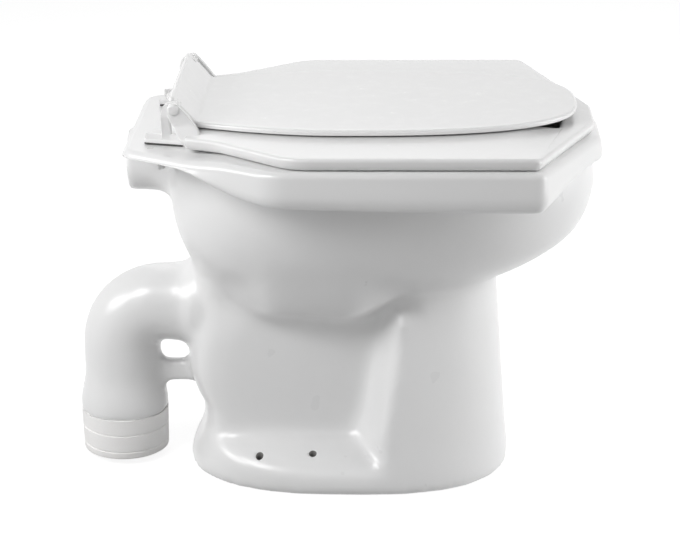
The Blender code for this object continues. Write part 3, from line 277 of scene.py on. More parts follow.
def bar(name, radii, behind, height, columns=96):
    """A round bar along the rear axis, with a radius at each distance behind the origin."""
    path = np.stack([-np.asarray(behind), np.full(len(behind), height)], axis=-1)
    return surface(name, sweep(path, np.asarray(radii), columns))


SPIGOT_HEIGHT, SPIGOT_RADIUS, SPIGOT_BORE = 0.345, 0.034, 0.023
reach = np.linspace(.124, .222, 50)
flare = .009 * np.exp(-np.clip(reach - .176, 0, None) / .006)
spigot_radii = SPIGOT_RADIUS + flare - .0025 * ease((reach - .219) / .003) ** 2
spigot = bar("spigot_outside", np.minimum(spigot_radii, .040), reach, SPIGOT_HEIGHT)
through = np.linspace(.100, .240, 12)
spigot_bore = bar("spigot_bore", np.full(12, SPIGOT_BORE), through, SPIGOT_HEIGHT, 64)
spigot_wall = bar("spigot_wall", np.full(12, SPIGOT_RADIUS), through, SPIGOT_HEIGHT, 64)


def block(name, x, ahead, up):
    """A plain block between two values on each axis."""
    corner = np.array([[ahead[0], up[0]], [ahead[1], up[0]], [ahead[1], up[1]], [ahead[0], up[1]]])
    return surface(name, stack(np.array(x)[:, None], corner[None, :, 0], corner[None, :, 1]))


web = block("web", (-.009, .009), (-.205, -.146), (.086, .112))
print("pipe", len(pipe.data.polygons), "faces, waterway", len(waterway.data.polygons))

# %% [markdown]
# ## Bowl inside and hollow foot
# The bowl is a long superellipse that shrinks to the sump over the trap. Outside the walls of
# bowl and trap the foot is hollow and open at the floor, as every such casting is.

# %% Basin and hollow
SUMP, BASIN_DEPTH, BOWL_POWER = 0.098, 0.247, 3.2
BASIN = ((0, .030, .058, .036), (.15, .062, .0613, .046), (.35, .1216, .0718, .0550),
         (.46, .1570, .0790, .0640), (.58, .1940, .0875, .0790), (.75, .2384, .1009, .0945),
         (.90, .2544, .1097, .1014), (1, .2590, .1130, .1040))


def basin(up, columns, wall=0.0):
    """Rings of the bowl's inside: a superellipse of power 3.2 between its front and rear reach,
    both read with the half width from the rows (share of depth, front, rear, half) of BASIN."""
    share = (np.asarray(up)[:, None] - SUMP) / BASIN_DEPTH
    table = np.array(BASIN)
    front, rear, half = (smooth_table(table[:, (0, k)], share) + wall for k in (1, 2, 3))
    along, across = superellipse(turns(columns), BOWL_POWER)
    ahead = (front - rear) / 2 + (front + rear) / 2 * along
    return stack(half * across, ahead, np.asarray(up)[:, None])


bowl_levels = SUMP + BASIN_DEPTH * np.linspace(.004, 1, 90) ** 1.5
bowl = surface("bowl_inside", basin(np.concatenate([[SUMP], bowl_levels, [.400]]), 200))
bowl_wall = surface("bowl_wall", basin(np.linspace(.087, .400, 60), 120, WALL))
hollow_rings = egg(np.linspace(0, .360, 60), 160, WALL)
hollow_rings[0, :, 2] = -.010
hollow = surface("hollow", hollow_rings)


def combine(target, tool, operation):
    """Adds a solid to another, or takes it away, for good."""
    change = target.modifiers.new(operation, "BOOLEAN")
    change.operation, change.solver, change.object = operation, "MANIFOLD", tool
    bake(target)
    bpy.data.objects.remove(tool)


def bake(piece):
    """Writes a piece's live modifiers into its mesh."""
    bpy.context.view_layer.update()
    shaped = piece.evaluated_get(bpy.context.evaluated_depsgraph_get())
    mesh = bpy.data.meshes.new_from_object(shaped)
    piece.modifiers.clear()
    piece.data = mesh


for wall in (bowl_wall, trap_wall, spigot_wall):
    combine(hollow, wall, "DIFFERENCE")
for part in (pipe, spigot, web):
    combine(body, part, "UNION")
for space in (hollow, bowl, waterway, spigot_bore):
    combine(body, space, "DIFFERENCE")
print("raw casting", len(body.data.polygons), "faces")

# %% [markdown]
# ## Pouring it in one piece
# A voxel remesh melts the joined solids into one skin, and a few rounds of smoothing round
# every inner and outer corner a little, which is what glaze does over cast clay. The screw
# holes are drilled last, so they stay crisp.

# %% Remesh and smooth
VOXEL, ROUNDS = 0.0045, 8
SCREW_X, SCREW_AHEAD, SCREW_RADIUS = 0.098, (-0.080, -0.022), 0.004
melt = body.modifiers.new("melt", "REMESH")
melt.mode, melt.voxel_size, melt.use_smooth_shade = "VOXEL", VOXEL, True
soften = body.modifiers.new("soften", "SMOOTH")
soften.factor, soften.iterations = .5, ROUNDS
bake(body)
body.name = "closet_casting"
turn = turns(24)
for side in (-1, 1):
    for ahead in SCREW_AHEAD:
        drill = stack(side * SCREW_X + SCREW_RADIUS * np.cos(turn),
                      ahead - SCREW_RADIUS * np.sin(turn), np.array([[.016], [.090]]))
        combine(body, surface("drill", drill), "DIFFERENCE")
body.data.shade_smooth()
triangles = sum(len(face.vertices) - 2 for face in body.data.polygons)
print("casting", triangles, "triangles")
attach(body, "closet")
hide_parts("closet_body")

# %% [markdown]
# ## Rounded outlines
# Rim, seat ring and seat opening are polygons with rounded corners. Every outline is made of the
# same number of points on each corner and side, so outlines moved inwards by any amount still
# match point for point, and a stack of them is a grid.

# %% Outlines
def outline(half_corners, radii, inset=0.0, on_corner=14, on_side=22):
    """A mirrored polygon (x, ahead) moved inwards, each corner an arc that touches both sides. A
    hollow corner has a negative radius, which grows as the outline moves inwards."""
    right = np.array(half_corners, float)
    corners = np.concatenate([right, right[::-1] * (-1, 1)])
    radii = np.concatenate([radii, radii[::-1]])
    onward = np.roll(corners, -1, 0) - corners
    onward /= np.linalg.norm(onward, axis=1, keepdims=True)
    before = np.roll(onward, 1, 0)
    normal = np.stack([before[:, 1], -before[:, 0]], -1)
    inward = np.stack([onward[:, 1], -onward[:, 0]], -1) + normal
    corners = corners + inward * inset / (1 + (before * onward).sum(1))[:, None]
    radii = np.where(radii > 0, np.maximum(radii - inset, .0004), radii - inset)
    half_turn = np.arccos(np.clip((before * onward).sum(1), -1, 1)) / 2
    start = corners - before * (np.abs(radii) * np.tan(half_turn))[:, None]
    centre = start + normal * radii[:, None]
    angle = np.linspace(0, 1, on_corner)[None, :] * 2 * half_turn[:, None]
    points = (centre[:, None] - normal[:, None] * (radii[:, None] * np.cos(angle))[..., None]
              + before[:, None] * (np.abs(radii)[:, None] * np.sin(angle))[..., None])
    after = np.roll(points[:, :1], -1, 0)
    share = np.linspace(0, 1, on_side + 2)[None, 1:-1, None]
    sides = points[:, -1:] * (1 - share) + after * share
    return np.concatenate([points, sides], axis=1).reshape(-1, 2)


def inwards(points):
    """Unit vectors that point into a clockwise outline, square to it at each point."""
    onward = np.roll(points, -1, 0) - np.roll(points, 1, 0)
    normal = np.stack([onward[:, 1], -onward[:, 0]], axis=-1)
    return normal / np.linalg.norm(onward, axis=1, keepdims=True)


def rounding(radius, steps=6):
    """A quarter round as (inset, drop) pairs: from level and inset to full width and down."""
    turn = np.linspace(0, np.pi / 2, steps)
    return np.stack([radius * (1 - np.sin(turn)), radius * (1 - np.cos(turn))], axis=-1)


print("a square has", len(outline(((1, 1), (1, -1)), (.2, .2))), "outline points")

# %% [markdown]
# ## Rim and apron
# The rim is a long octagon, level along the sides and lower at the nose and the rear deck. Its
# section starts at the lip of the bowl, runs out over the tread, rolls over the edge, swells a
# little down the apron and comes back up behind it.

# %% Rim
NOSE = 0.287
RIM_CORNERS = ((.036, NOSE), (.207, .217), (.207, -.056), (.110, -.216))
RIM_RADII = (.030, .015, .065, .022)
EDGE, LIP_ROUND, TREAD_ROUND = 0.0014, 0.006, 0.008
LIP_FOOT, TREAD_UNDERSIDE = 0.3745, 0.3758
APRON_SWELL = ((0, .0085), (.04, .0060), (.12, .0032), (.30, .0008), (.42, 0), (.60, .0003),
               (1, EDGE))


def rim_top(ahead):
    """Height of the tread: a short ramp to the rear deck and a straight fall to the nose."""
    return (RIM_HEIGHT - .004 * ease((-.095 - ahead) / .055)
            - .010 * np.clip((ahead - .215) / .072, 0, 1))


def apron_foot(ahead):
    """Height of the apron's lower edge, which climbs towards the rear deck."""
    return smooth_table(((-.216, .3790), (-.183, .3788), (-.161, .3780), (-.150, .3762),
                         (-.140, .3725), (-.128, .3672), (-.109, .3608), (-.087, .3548),
                         (-.068, .3522), (-.050, .3512), (.020, .3493), (.090, .3477),
                         (.150, .3470), (.212, .3468), (.226, .3485), (.250, .3545),
                         (.270, .3545), (.287, .3515)), ahead)


def opening(points, grow=0.0):
    """The bowl opening (superellipse of power 3.2) at the polar angle of each outline point."""
    middle, reach, half = .073, .173 + grow, .091 + grow
    angle = np.arctan2(points[:, 1] - middle, points[:, 0])
    radius = (np.abs(np.cos(angle) / half) ** BOWL_POWER
              + np.abs(np.sin(angle) / reach) ** BOWL_POWER) ** (-1 / BOWL_POWER)
    return np.stack([radius * np.cos(angle), middle + radius * np.sin(angle)], axis=-1)


print("tread at nose and deck", rim_top(np.array([NOSE, -.216])))

# %% [markdown]
# ## The rim's section
# Each row of the grid is one outline at its own inset and height. The rows are far apart on the
# flat tread and close together where the surface turns, and the last one meets the first.

# %% Rim as a grid
def rim_rows():
    """The rim's section, row by row: lip, tread, outer edge, apron, its back and the underside."""
    edge = outline(RIM_CORNERS, RIM_RADII, EDGE)
    rows = []

    def add(points, up):
        rows.append(stack(*points.T, up))

    mouth = opening(edge)
    add(mouth, np.full(len(edge), LIP_FOOT))
    add(mouth, rim_top(mouth[:, 1]) - LIP_ROUND)
    for inset, drop in rounding(LIP_ROUND)[::-1]:
        ring = opening(edge, LIP_ROUND - inset)
        add(ring, rim_top(ring[:, 1]) - drop)
    inner = opening(edge, LIP_ROUND)
    outer = outline(RIM_CORNERS, RIM_RADII, EDGE + TREAD_ROUND)
    for share in np.linspace(0, 1, 8)[1:-1]:
        ring = inner + (outer - inner) * share
        add(ring, rim_top(ring[:, 1]))
    for inset, drop in rounding(TREAD_ROUND, 10):
        ring = outline(RIM_CORNERS, RIM_RADII, EDGE + inset)
        add(ring, rim_top(ring[:, 1]) - drop)
    for share in (.95, .85, .72, .60, .48, .36, .26, .18, .12, .07, .04, .015, 0):
        ring = outline(RIM_CORNERS, RIM_RADII, float(smooth_table(APRON_SWELL, np.array(share))))
        top = rim_top(ring[:, 1]) - TREAD_ROUND
        low = apron_foot(ring[:, 1])
        add(ring, low + (top - low) * share)
    for inset, lift in ((.0105, -.0004), (.0125, .0002), (.0138, .0020)):
        ring = outline(RIM_CORNERS, RIM_RADII, inset)
        add(ring, apron_foot(ring[:, 1]) + lift)
    for ring, least in ((outline(RIM_CORNERS, RIM_RADII, .0150), .3735),
                        (outline(RIM_CORNERS, RIM_RADII, .0185), TREAD_UNDERSIDE),
                        (opening(edge, .020), TREAD_UNDERSIDE)):
        add(ring, np.maximum(apron_foot(ring[:, 1]) + .0006, least))
    add(opening(edge, .004), np.full(len(edge), TREAD_UNDERSIDE))
    return np.array(rows)


rim = surface("closet_rim", rim_rows(), ring=True, sharp=60)
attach(rim, "closet")
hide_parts("closet_body")
print("rim", len(rim.data.polygons), "faces")

# %% [markdown]
# ## Unglazed outlet
# The last 45 mm of the outlet is left without glaze, so mortar or a rubber seal can grip it,
# and two fine grooves are turned into it. It is a profile turned about the pipe's axis.

# %% Outlet end
OUTLET_TOP, OUTLET_FOOT, TAPER = 0.0545, 0.0095, 0.0011
GROOVES, GROOVE_DEPTH, GROOVE_HALF = (0.0362, 0.0162), 0.0012, 0.0010


def turned(name, profile, centre, columns=128):
    """A ring turned about an upright axis from a closed (radius, height) profile."""
    profile = np.array(profile)
    one, two = profile[:, :1] * np.cos(turns(columns)), profile[:, :1] * np.sin(turns(columns))
    grid = stack(centre[0] + one, centre[1] + two, profile[:, 1:])
    return surface(name, grid, ring=True)


def outlet_profile():
    """Outer side down with two V grooves, a rounded lower edge and the bore back up."""
    up = np.linspace(OUTLET_TOP, OUTLET_FOOT, 181)
    radius = .0486 - TAPER * (OUTLET_TOP - up) / .045
    for groove in GROOVES:
        radius = radius - GROOVE_DEPTH * np.clip(1 - np.abs(up - groove) / GROOVE_HALF, 0, 1)
    outer = np.stack([radius, up], axis=-1)
    foot = [(.0471, .0084), (.0464, .0080), (.0392, .0080), (.0384, .0084), (.0382, .0092),
            (.0382, OUTLET_TOP)]
    return np.concatenate([outer, foot])


outlet = turned("outlet_end", outlet_profile(), (0, FALL))
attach(outlet, "closet")
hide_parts("closet_body")
print("outlet", [round(float(v), 4) for v in np.ptp(outlet_profile(), axis=0)])

# %% [markdown]
# ## Seat ring
# The seat is a moulding that follows the rim: flat on top, rounded at both edges and hollow
# below. Its opening is the same kind of outline, so the section is a closed ring of rows.

# %% Seat ring
SEAT_BASE, SEAT_TOP, SEAT_DRAFT, SEAT_SKIN = 0.3915, 0.4040, 0.0046, 0.0035
SEAT_CORNERS = ((.032, .278), (.203, .212), (.203, -.038), (.142, -.1125), (.127, -.1480))
SEAT_RADII = (.030, .011, .055, -.060, .004)
HOLE_CORNERS = ((.032, .2430), (.0735, .2360), (.0885, .080), (.074, -.078), (.040, -.098))
HOLE_RADII = (.040, .006, .200, .030, .020)


def seat_dip(ahead):
    """How far the seat falls towards the nose, as the rim does under it."""
    return .010 * np.clip((ahead - .205) / .082, 0, 1)


def seat_rows():
    """Outer side up, over the top, down into the opening, and back through the hollow below."""
    rows = []

    def add(corners, radii, inset, up):
        ring = outline(corners, radii, inset, 12, 24)
        rows.append(stack(*ring.T, up - seat_dip(ring[:, 1])))

    add(SEAT_CORNERS, SEAT_RADII, SEAT_DRAFT, SEAT_BASE)
    add(SEAT_CORNERS, SEAT_RADII, .0036, SEAT_BASE + .0005)
    add(SEAT_CORNERS, SEAT_RADII, .0012, SEAT_BASE + .0045)
    for inset, drop in rounding(.0034, 8)[::-1]:
        add(SEAT_CORNERS, SEAT_RADII, inset, SEAT_TOP - drop)
    for inset, drop in rounding(.0050, 8):
        add(HOLE_CORNERS, HOLE_RADII, -inset, SEAT_TOP - drop)
    add(HOLE_CORNERS, HOLE_RADII, -.0002, SEAT_BASE + .0006)
    add(HOLE_CORNERS, HOLE_RADII, -.0008, SEAT_BASE)
    add(HOLE_CORNERS, HOLE_RADII, -SEAT_SKIN, SEAT_BASE)
    add(HOLE_CORNERS, HOLE_RADII, -SEAT_SKIN, SEAT_TOP - SEAT_SKIN)
    add(SEAT_CORNERS, SEAT_RADII, SEAT_DRAFT + SEAT_SKIN, SEAT_TOP - SEAT_SKIN)
    add(SEAT_CORNERS, SEAT_RADII, SEAT_DRAFT + SEAT_SKIN, SEAT_BASE)
    return np.array(rows)


seat = surface("seat_ring_moulding", seat_rows(), ring=True, sharp=50)
print("seat", len(seat.data.polygons), "faces")

# %% [markdown]
# ## The bent tails
# Lid and seat both turn up by 48 degrees to the hinge. A flat plate is drawn first, with a
# distance along it, and is then laid on a bent centre line: straight, a soft bend, straight.

# %% Bend
LID_TOP, BEND_START, BEND_LENGTH, TAIL_ANGLE = 0.4115, -0.1325, 0.009, np.radians(48)
HINGE = (-0.160016, 0.428992)
along_fine = np.linspace(0, .060, 601)
angle_fine = TAIL_ANGLE * ease(along_fine / BEND_LENGTH)
line_back = np.concatenate([[0], np.cumsum(np.cos(angle_fine[1:]) * np.diff(along_fine))])
line_up = np.concatenate([[0], np.cumsum(np.sin(angle_fine[1:]) * np.diff(along_fine))])


def bend(x, s, depth):
    """A point s ahead on the flat plate and depth below its top, laid on the bent line: the
    line's point minus depth times the line's normal."""
    past = np.clip(BEND_START - s, 0, None)
    turn = np.interp(past, along_fine, angle_fine)
    ahead = np.where(s > BEND_START, s, BEND_START - np.interp(past, along_fine, line_back))
    up = np.interp(past, along_fine, line_up)
    return stack(x, ahead - depth * np.sin(turn), LID_TOP + up - depth * np.cos(turn))


print("60 mm along the tail rise", round(float(line_up[-1]) * 1000, 1), "mm")

# %% [markdown]
# ## Lid
# The lid's plan is half an oval in front, sides that draw in to the crease, and a short neck.
# Rings of that outline, moved inwards and down, give the rounded edge; the last rings close on
# the middle line, above and below.

# %% Lid
LID_HALF, LID_WIDEST, LID_AHEAD, LID_POWER = 0.1265, 0.010, 0.250, 2.65
CREASE, NECK_DRAW, NECK_FLARE = -0.137, 0.0325, 0.003


def lid_half(s):
    """Half width behind the widest place: it falls off as the 1.85th power of the way to the
    crease, and the neck flares again behind it."""
    share = np.clip((LID_WIDEST - s) / (LID_WIDEST - CREASE), 0, 1)
    return LID_HALF - NECK_DRAW * share ** 1.85 + NECK_FLARE * ease((CREASE - s) / .014)


def lid_plan(points=150):
    """Right half of the lid: (x, s) from the tip to the tail's corner, with a rounded corner."""
    turn = np.linspace(0, np.pi / 2, points)
    along, across = superellipse(turn, LID_POWER)
    front = np.stack([LID_HALF * across, LID_WIDEST + LID_AHEAD * along], axis=-1)
    s = np.concatenate([np.linspace(.006, -.130, 52), np.linspace(-.133, -.170, 24)])
    sides = np.stack([lid_half(s), s], axis=-1)
    corner = np.radians(np.linspace(0, 90, 10))
    tail = np.stack([.0925 + .0045 * np.cos(corner), -.1705 - .0045 * np.sin(corner)], axis=-1)
    end = np.stack([np.linspace(.085, .004, 16), np.full(16, -.175)], axis=-1)
    return np.concatenate([front, sides, tail, end])


half = lid_plan()
plan = np.concatenate([half, half[1:][::-1] * (-1, 1)])
plan_inward = inwards(plan)


def lid_ring(inset, depth, share=0.0):
    """The plan moved inwards by inset, part of the way to the middle line, at a depth."""
    ring = plan + plan_inward * inset
    middle = np.stack([np.zeros(len(ring)), np.clip(ring[:, 1], -.168, .215)], axis=-1)
    ring = ring + (middle - ring) * share
    return bend(*ring.T, depth)


lid_rows = [lid_ring(.003, .0030, share) for share in (1, .7, .4, .15, 0)]
lid_rows += [lid_ring(inset, depth) for inset, depth in
             ((.003, .0052), (.0024, .0057), (.0012, .0057), (.0004, .0053))]
lid_rows += [lid_ring(inset, depth) for inset, depth in rounding(.0030, 9)[::-1]]
lid_rows += [lid_ring(.0030, 0, share) for share in (.06, .15, .3, .5, .75, 1)]
lid = surface("lid_moulding", np.array(lid_rows), sharp=50)
print("lid", len(lid.data.polygons), "faces")

# %% [markdown]
# ## Seat tail
# Under the lid's neck the seat has its own plate, bent along the same line a little deeper. It
# is an oblong outline, and a union makes it one with the seat.

# %% Seat tail
def plate_rows(row, edge, shares):
    """Rows of a flat closed piece: in to the middle on one face, round both edges, and in again
    on the other. row(inset, face, shift, share) gives one ring of it, with face 1 first."""
    rows = [row(edge, 1, 0, share) for share in shares]
    rows += [row(inset, 1, -drop, 0) for inset, drop in rounding(edge, 4)]
    rows += [row(inset, 0, drop, 0) for inset, drop in rounding(edge, 4)[::-1]]
    return np.array(rows + [row(edge, 0, 0, share) for share in shares[::-1]])


def tail_plate(first=.0077, thick=.0054):
    """The plate between the arms: an oblong in (x, s) bent like the lid's neck."""
    s = np.linspace(-.112, -.157, 34)
    right = np.stack([np.full(len(s), .1050), s], axis=-1)
    across = np.linspace(.100, -.100, 30)
    rear = np.stack([across, np.full(30, -.158)], axis=-1)
    front = np.stack([-across, np.full(30, -.111)], axis=-1)
    plan = np.concatenate([right, rear, (right * (-1, 1))[::-1], front])
    middle = plan * (0, 1)

    def row(inset, face, shift, share):
        ring = (plan + inwards(plan) * inset) * (1 - share) + middle * share
        return bend(*ring.T, first + thick * face + shift)

    return plate_rows(row, .0012, (1, .8, .6, .4, .2, .08))


combine(seat, surface("seat_tail", tail_plate(), sharp=50), "UNION")
print("seat with tail", len(seat.data.polygons), "faces")

# %% [markdown]
# ## Seat arms
# At each side a curved arm rises from the seat's rear corner to the hinge axis. In side view it
# lies between two cubic curves, so each ring of the grid simply spans from one to the other.

# %% Arms
EYE = 0.0066
ARM_INNER, ARM_OUTER, ARM_FLARE = 0.1032, 0.1092, 0.0150


def bezier(start, one, two, end, steps):
    """A cubic curve between two points, pulled by two others."""
    t = np.linspace(0, 1, steps)[:, None]
    start, one, two, end = map(np.array, (start, one, two, end))
    return (start * (1 - t) ** 3 + 3 * one * t * (1 - t) ** 2 + 3 * two * t * t * (1 - t)
            + end * t ** 3)


def on_eye(angle):
    """The point (ahead, up) at an angle in degrees on the eye's outer circle."""
    return arc(HINGE, EYE, angle, angle, 1)[0]


def arm(side):
    """A strap from the seat's corner to the eye: between two curves in side view, with a rounded
    oblong section (a superellipse of power 7), flaring outwards as it comes down."""
    front = bezier((-.1290, .3980), (-.1350, .4080), (-.1405, .4185), on_eye(50), 28)
    rear = bezier((-.1475, .3920), (-.1540, .4010), (-.1660, .4130), on_eye(190), 28)
    along, across = superellipse(turns(48), 7)
    ring = (front + rear)[:, None] / 2 + (front - rear)[:, None] / 2 * along[..., None]
    edge = ARM_OUTER + ARM_FLARE * ease((.4150 - ring[..., 1]) / .0170) ** 1.3
    return stack(side * ((ARM_INNER + edge) / 2 + (edge - ARM_INNER) / 2 * across),
                 ring[..., 0], ring[..., 1])


print("arm", arm(1).shape[:2], "points")

# %% [markdown]
# ## Eyes, knuckles and the pin's hole
# Each arm ends in an eye and the lid has a knuckle inside each eye, all on one axis. They are
# short rods with rounded ends, and the hole for the pin is a rod that is taken away. Unions
# make arms, eyes and tail one moulding, as they are on the real seat.

# %% Eyes and knuckles
KNUCKLE, KNUCKLE_INNER, KNUCKLE_OUTER = 0.0062, 0.0850, 0.0950
PIN, PLAY = 0.0030, 0.0002


def lathe(name, profile, centre, axis, columns=48):
    """A solid turned about the X or the upright axis, from (radius, place) rows between poles."""
    profile = np.array(profile)
    profile = np.concatenate([[(0, profile[0, 1])], profile, [(0, profile[-1, 1])]])
    one, two = profile[:, :1] * np.cos(turns(columns)), profile[:, :1] * np.sin(turns(columns))
    if axis == "X":
        return surface(name, stack(profile[:, 1:], centre[0] + one, centre[1] + two), sharp=50)
    return surface(name, stack(centre[0] + one, centre[1] + two, profile[:, 1:]), sharp=50)


def rod(radius, start, end, edge):
    """The profile of a rod with rounded ends, as (radius, place) rows."""
    turn = np.radians(np.linspace(0, 90, 5))
    flat, wave, fall = radius - edge, edge * np.sin(turn), edge * np.cos(turn)
    near = np.stack([flat + wave, start + edge - fall], axis=-1)
    far = np.stack([flat + fall, end - edge + wave], axis=-1)
    return np.concatenate([near, far])


def join_rod(target, name, radius, span, edge, centre=HINGE, axis="X"):
    """Adds a rod between two places on an axis to a piece."""
    combine(target, lathe(name, rod(radius, min(span), max(span), edge), centre, axis), "UNION")


def bore(target, name, radius, span, centre=HINGE, axis="X"):
    """Takes a round hole between two places on an axis out of a piece."""
    tool = lathe(name, rod(radius, min(span), max(span), .0001), centre, axis)
    combine(target, tool, "DIFFERENCE")


for sign in (-1, 1):
    combine(seat, surface("arm", arm(sign), sharp=50), "UNION")
    join_rod(seat, "eye", EYE, (sign * ARM_INNER, sign * ARM_OUTER), .0012)
    join_rod(lid, "knuckle", KNUCKLE, (sign * KNUCKLE_INNER, sign * KNUCKLE_OUTER), .0006)
for target, reach in ((seat, .115), (lid, .100)):
    for sign in (-1, 1):
        bore(target, "pin_hole", PIN + PLAY, (sign * .080, sign * reach))
seat.name = "seat_moulding"
for piece, body_name, node in ((seat, "seat", "seat_ring"), (lid, "lid", "seat_lid")):
    piece.data.shade_smooth()
    piece.data.set_sharp_from_angle(angle=np.radians(40))
    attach(piece, body_name)
    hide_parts(node)
    print(piece.name, len(piece.data.polygons), "faces")

# %% [markdown]
# ## Hinge brackets
# A bracket is a tapered plate with a curb along its outer edge and a leg that stands on the curb.
# Plate and curb are slabs over a plan. The leg is an outline in side view with a thickness: a
# straight part that leans outwards, and a crown that is upright and goes round the pin.

# %% Brackets
PLATE_BASE, PLATE_TOP, CURB_TOP = float(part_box("hinge_bracket_right")[0][2]), 0.3926, 0.3990
BOLT_X, BOLT_AHEAD, BOLT_HOLE, BOLT_SPAN = 0.0775, -0.178, 0.0043, (0.380, 0.400)
LEG_INNER, LEG_THICK, LEG_LEAN, LEG_BEND, LEG_DROP = 0.0976, 0.0050, 0.0079, 0.4190, 0.0220


def polygon(corners, spacing=.002):
    """A closed outline through the corners with a point every two millimetres."""
    corners = np.array(corners)
    sides = []
    for start, end in zip(corners, np.roll(corners, -1, 0)):
        steps = int(np.linalg.norm(end - start) / spacing) + 1
        sides.append(start + (end - start) * np.arange(steps)[:, None] / steps)
    return np.concatenate(sides)


BRACKET_PLAN = polygon([(.062, -.194), (.062, -.152), (.0990, -.152), (.0895, -.1915),
                        (.0870, -.194)])
CURB_PLAN = polygon([(.0952, -.1523), (.0987, -.1523), (.0892, -.1912), (.0857, -.1903)])


def slab(name, plan, side, low, high, edge):
    """An upright solid over a plan, flat below and with a small quarter round above."""
    levels = [(edge, low), (0, low + edge)]
    levels += [(inset, high - drop) for inset, drop in rounding(edge, 5)[::-1]]
    rings = [(plan + inwards(plan) * inset, up) for inset, up in levels]
    rows = [stack(side * ring[:, 0], ring[:, 1], up) for ring, up in rings]
    return surface(name, np.array(rows), sharp=50)


def bracket(side):
    """A tapered plate with a curb on its outer edge, and a leg that rises from the curb, leans
    outwards and ends in a shoulder round the pin; the holes of pin and bolt go through."""
    plate = slab("bracket", BRACKET_PLAN, side, PLATE_BASE, PLATE_TOP, .0008)
    combine(plate, slab("curb", CURB_PLAN, side, PLATE_BASE + .0012, CURB_TOP, .0007), "UNION")
    leg = polygon([(-.1744, .3915), (-.1741, .4196), (-.1600, .4196), (-.1638, .4140),
                   (-.1641, .3915)])
    shoulder = bezier((-.1741, .4188), (-.1737, .4285), (-.1695, .4352), on_eye(105), 14)
    crown = np.concatenate([shoulder[:-1], arc(HINGE, EYE, 105, -60, 24), [(-.1600, .4188)]])

    def row(inset, face, shift, share):
        ring = section + inwards(section) * inset
        lean = LEG_LEAN * np.clip((LEG_BEND - ring[:, 1]) / LEG_DROP, 0, 1.2)
        x = side * (LEG_INNER + LEG_THICK * face + shift - lean)
        return stack(x, ring[:, 0], ring[:, 1])

    for name, section in (("leg", leg), ("crown", crown)):
        combine(plate, surface(name, plate_rows(row, .0006, (0,)), sharp=50), "UNION")
    bore(plate, "pin_hole", PIN + PLAY, (side * .090, side * .110))
    bore(plate, "bolt_hole", BOLT_HOLE, BOLT_SPAN, (side * BOLT_X, BOLT_AHEAD), "Z")
    plate.data.shade_smooth()
    plate.data.set_sharp_from_angle(angle=np.radians(40))
    return plate


print("bracket plan", len(BRACKET_PLAN), "points")

# %% [markdown]
# ## Nuts, caps, pins and gaskets
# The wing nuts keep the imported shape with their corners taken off: the triangles are welded,
# flat neighbours are joined, and a bevel rounds each edge. Pins and caps are turned afresh, so
# that they are round. A gasket is a thinner slab of the bracket's plan. Bolts, washers and
# rubber feet stay as packed.

# %% Small parts
HEAD_X, HEAD_RADIUS, SHANK_END = 0.1099, 0.0058, 0.10955


def softened(node, width):
    """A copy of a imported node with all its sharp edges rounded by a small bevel."""
    source = bpy.data.objects[node]
    mesh = source.data.copy()
    mesh.transform(source.matrix_world)
    shape = bmesh.new()
    shape.from_mesh(mesh)
    bmesh.ops.remove_doubles(shape, verts=shape.verts, dist=1e-5)
    bmesh.ops.dissolve_limit(shape, angle_limit=np.radians(1), verts=shape.verts,
                             edges=shape.edges)
    shape.to_mesh(mesh)
    shape.free()
    piece = bpy.data.objects.new(node + "_soft", mesh)
    bpy.context.collection.objects.link(piece)
    soft = piece.modifiers.new("soft_edges", "BEVEL")
    soft.width, soft.segments = width, 3
    soft.limit_method, soft.angle_limit = "ANGLE", np.radians(35)
    bake(piece)
    piece.data.shade_smooth()
    piece.data.set_sharp_from_angle(angle=np.radians(50))
    return piece


def placed(piece, body_name, node):
    """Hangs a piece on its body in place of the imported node."""
    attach(piece, body_name)
    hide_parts(node)
    return piece


def middle(node):
    """Centre (x, ahead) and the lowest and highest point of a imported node, and its half width."""
    low, high = (np.array(corner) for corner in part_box(node))
    centre = (low[0] + high[0]) / 2, -(low[1] + high[1]) / 2
    return centre, low[2], high[2], (high[0] - low[0]) / 2


hinge_parts, rubber_parts = [], []
for side in ("left", "right"):
    sign = 1 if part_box("hinge_bracket_" + side)[0][0] > 0 else -1
    hinge_parts.append(placed(bracket(sign), "closet", "hinge_bracket_" + side))
    nut = "wing_nut_" + side
    hinge_parts.append(placed(softened(nut, .0006), "closet", nut))
    low, high = (float(corner[2]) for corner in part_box("bracket_gasket_" + side))
    sheet = BRACKET_PLAN + inwards(BRACKET_PLAN) * .0006
    gasket = slab("gasket_" + side, sheet, sign, low, high, .0002)
    bore(gasket, "bolt_hole", BOLT_HOLE, BOLT_SPAN, (sign * BOLT_X, BOLT_AHEAD), "Z")
    rubber_parts.append(placed(gasket, "closet", "bracket_gasket_" + side))
    centre, low, high, radius = middle("bolt_cap_" + side)
    dome = [(radius * np.cos(turn) ** .55, low + .0012 + (high - low - .0012) * np.sin(turn))
            for turn in np.radians(np.linspace(0, 86, 12))]
    foot = [(radius - .0006, low), (radius, low + .0005)]
    cap = lathe("bolt_cap_dome_" + side, foot + dome, centre, "Z")
    hinge_parts.append(placed(cap, "closet", "bolt_cap_" + side))
    near, far = sorted(abs(float(corner[0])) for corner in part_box("hinge_pin_" + side))
    turn = np.radians(np.linspace(0, 84, 8))
    head = np.stack([HEAD_RADIUS * np.cos(turn) ** .7, HEAD_X + (far - HEAD_X) * np.sin(turn)],
                    axis=-1)
    shank = [(PIN - .0005, near), (PIN, near + .0005), (PIN, SHANK_END),
             (HEAD_RADIUS - .0002, SHANK_END)]
    profile = np.concatenate([shank, head]) * (1, sign)
    pin = lathe("hinge_pin_round_" + side, profile, HINGE, "X")
    hinge_parts.append(placed(pin, "closet", "hinge_pin_" + side))
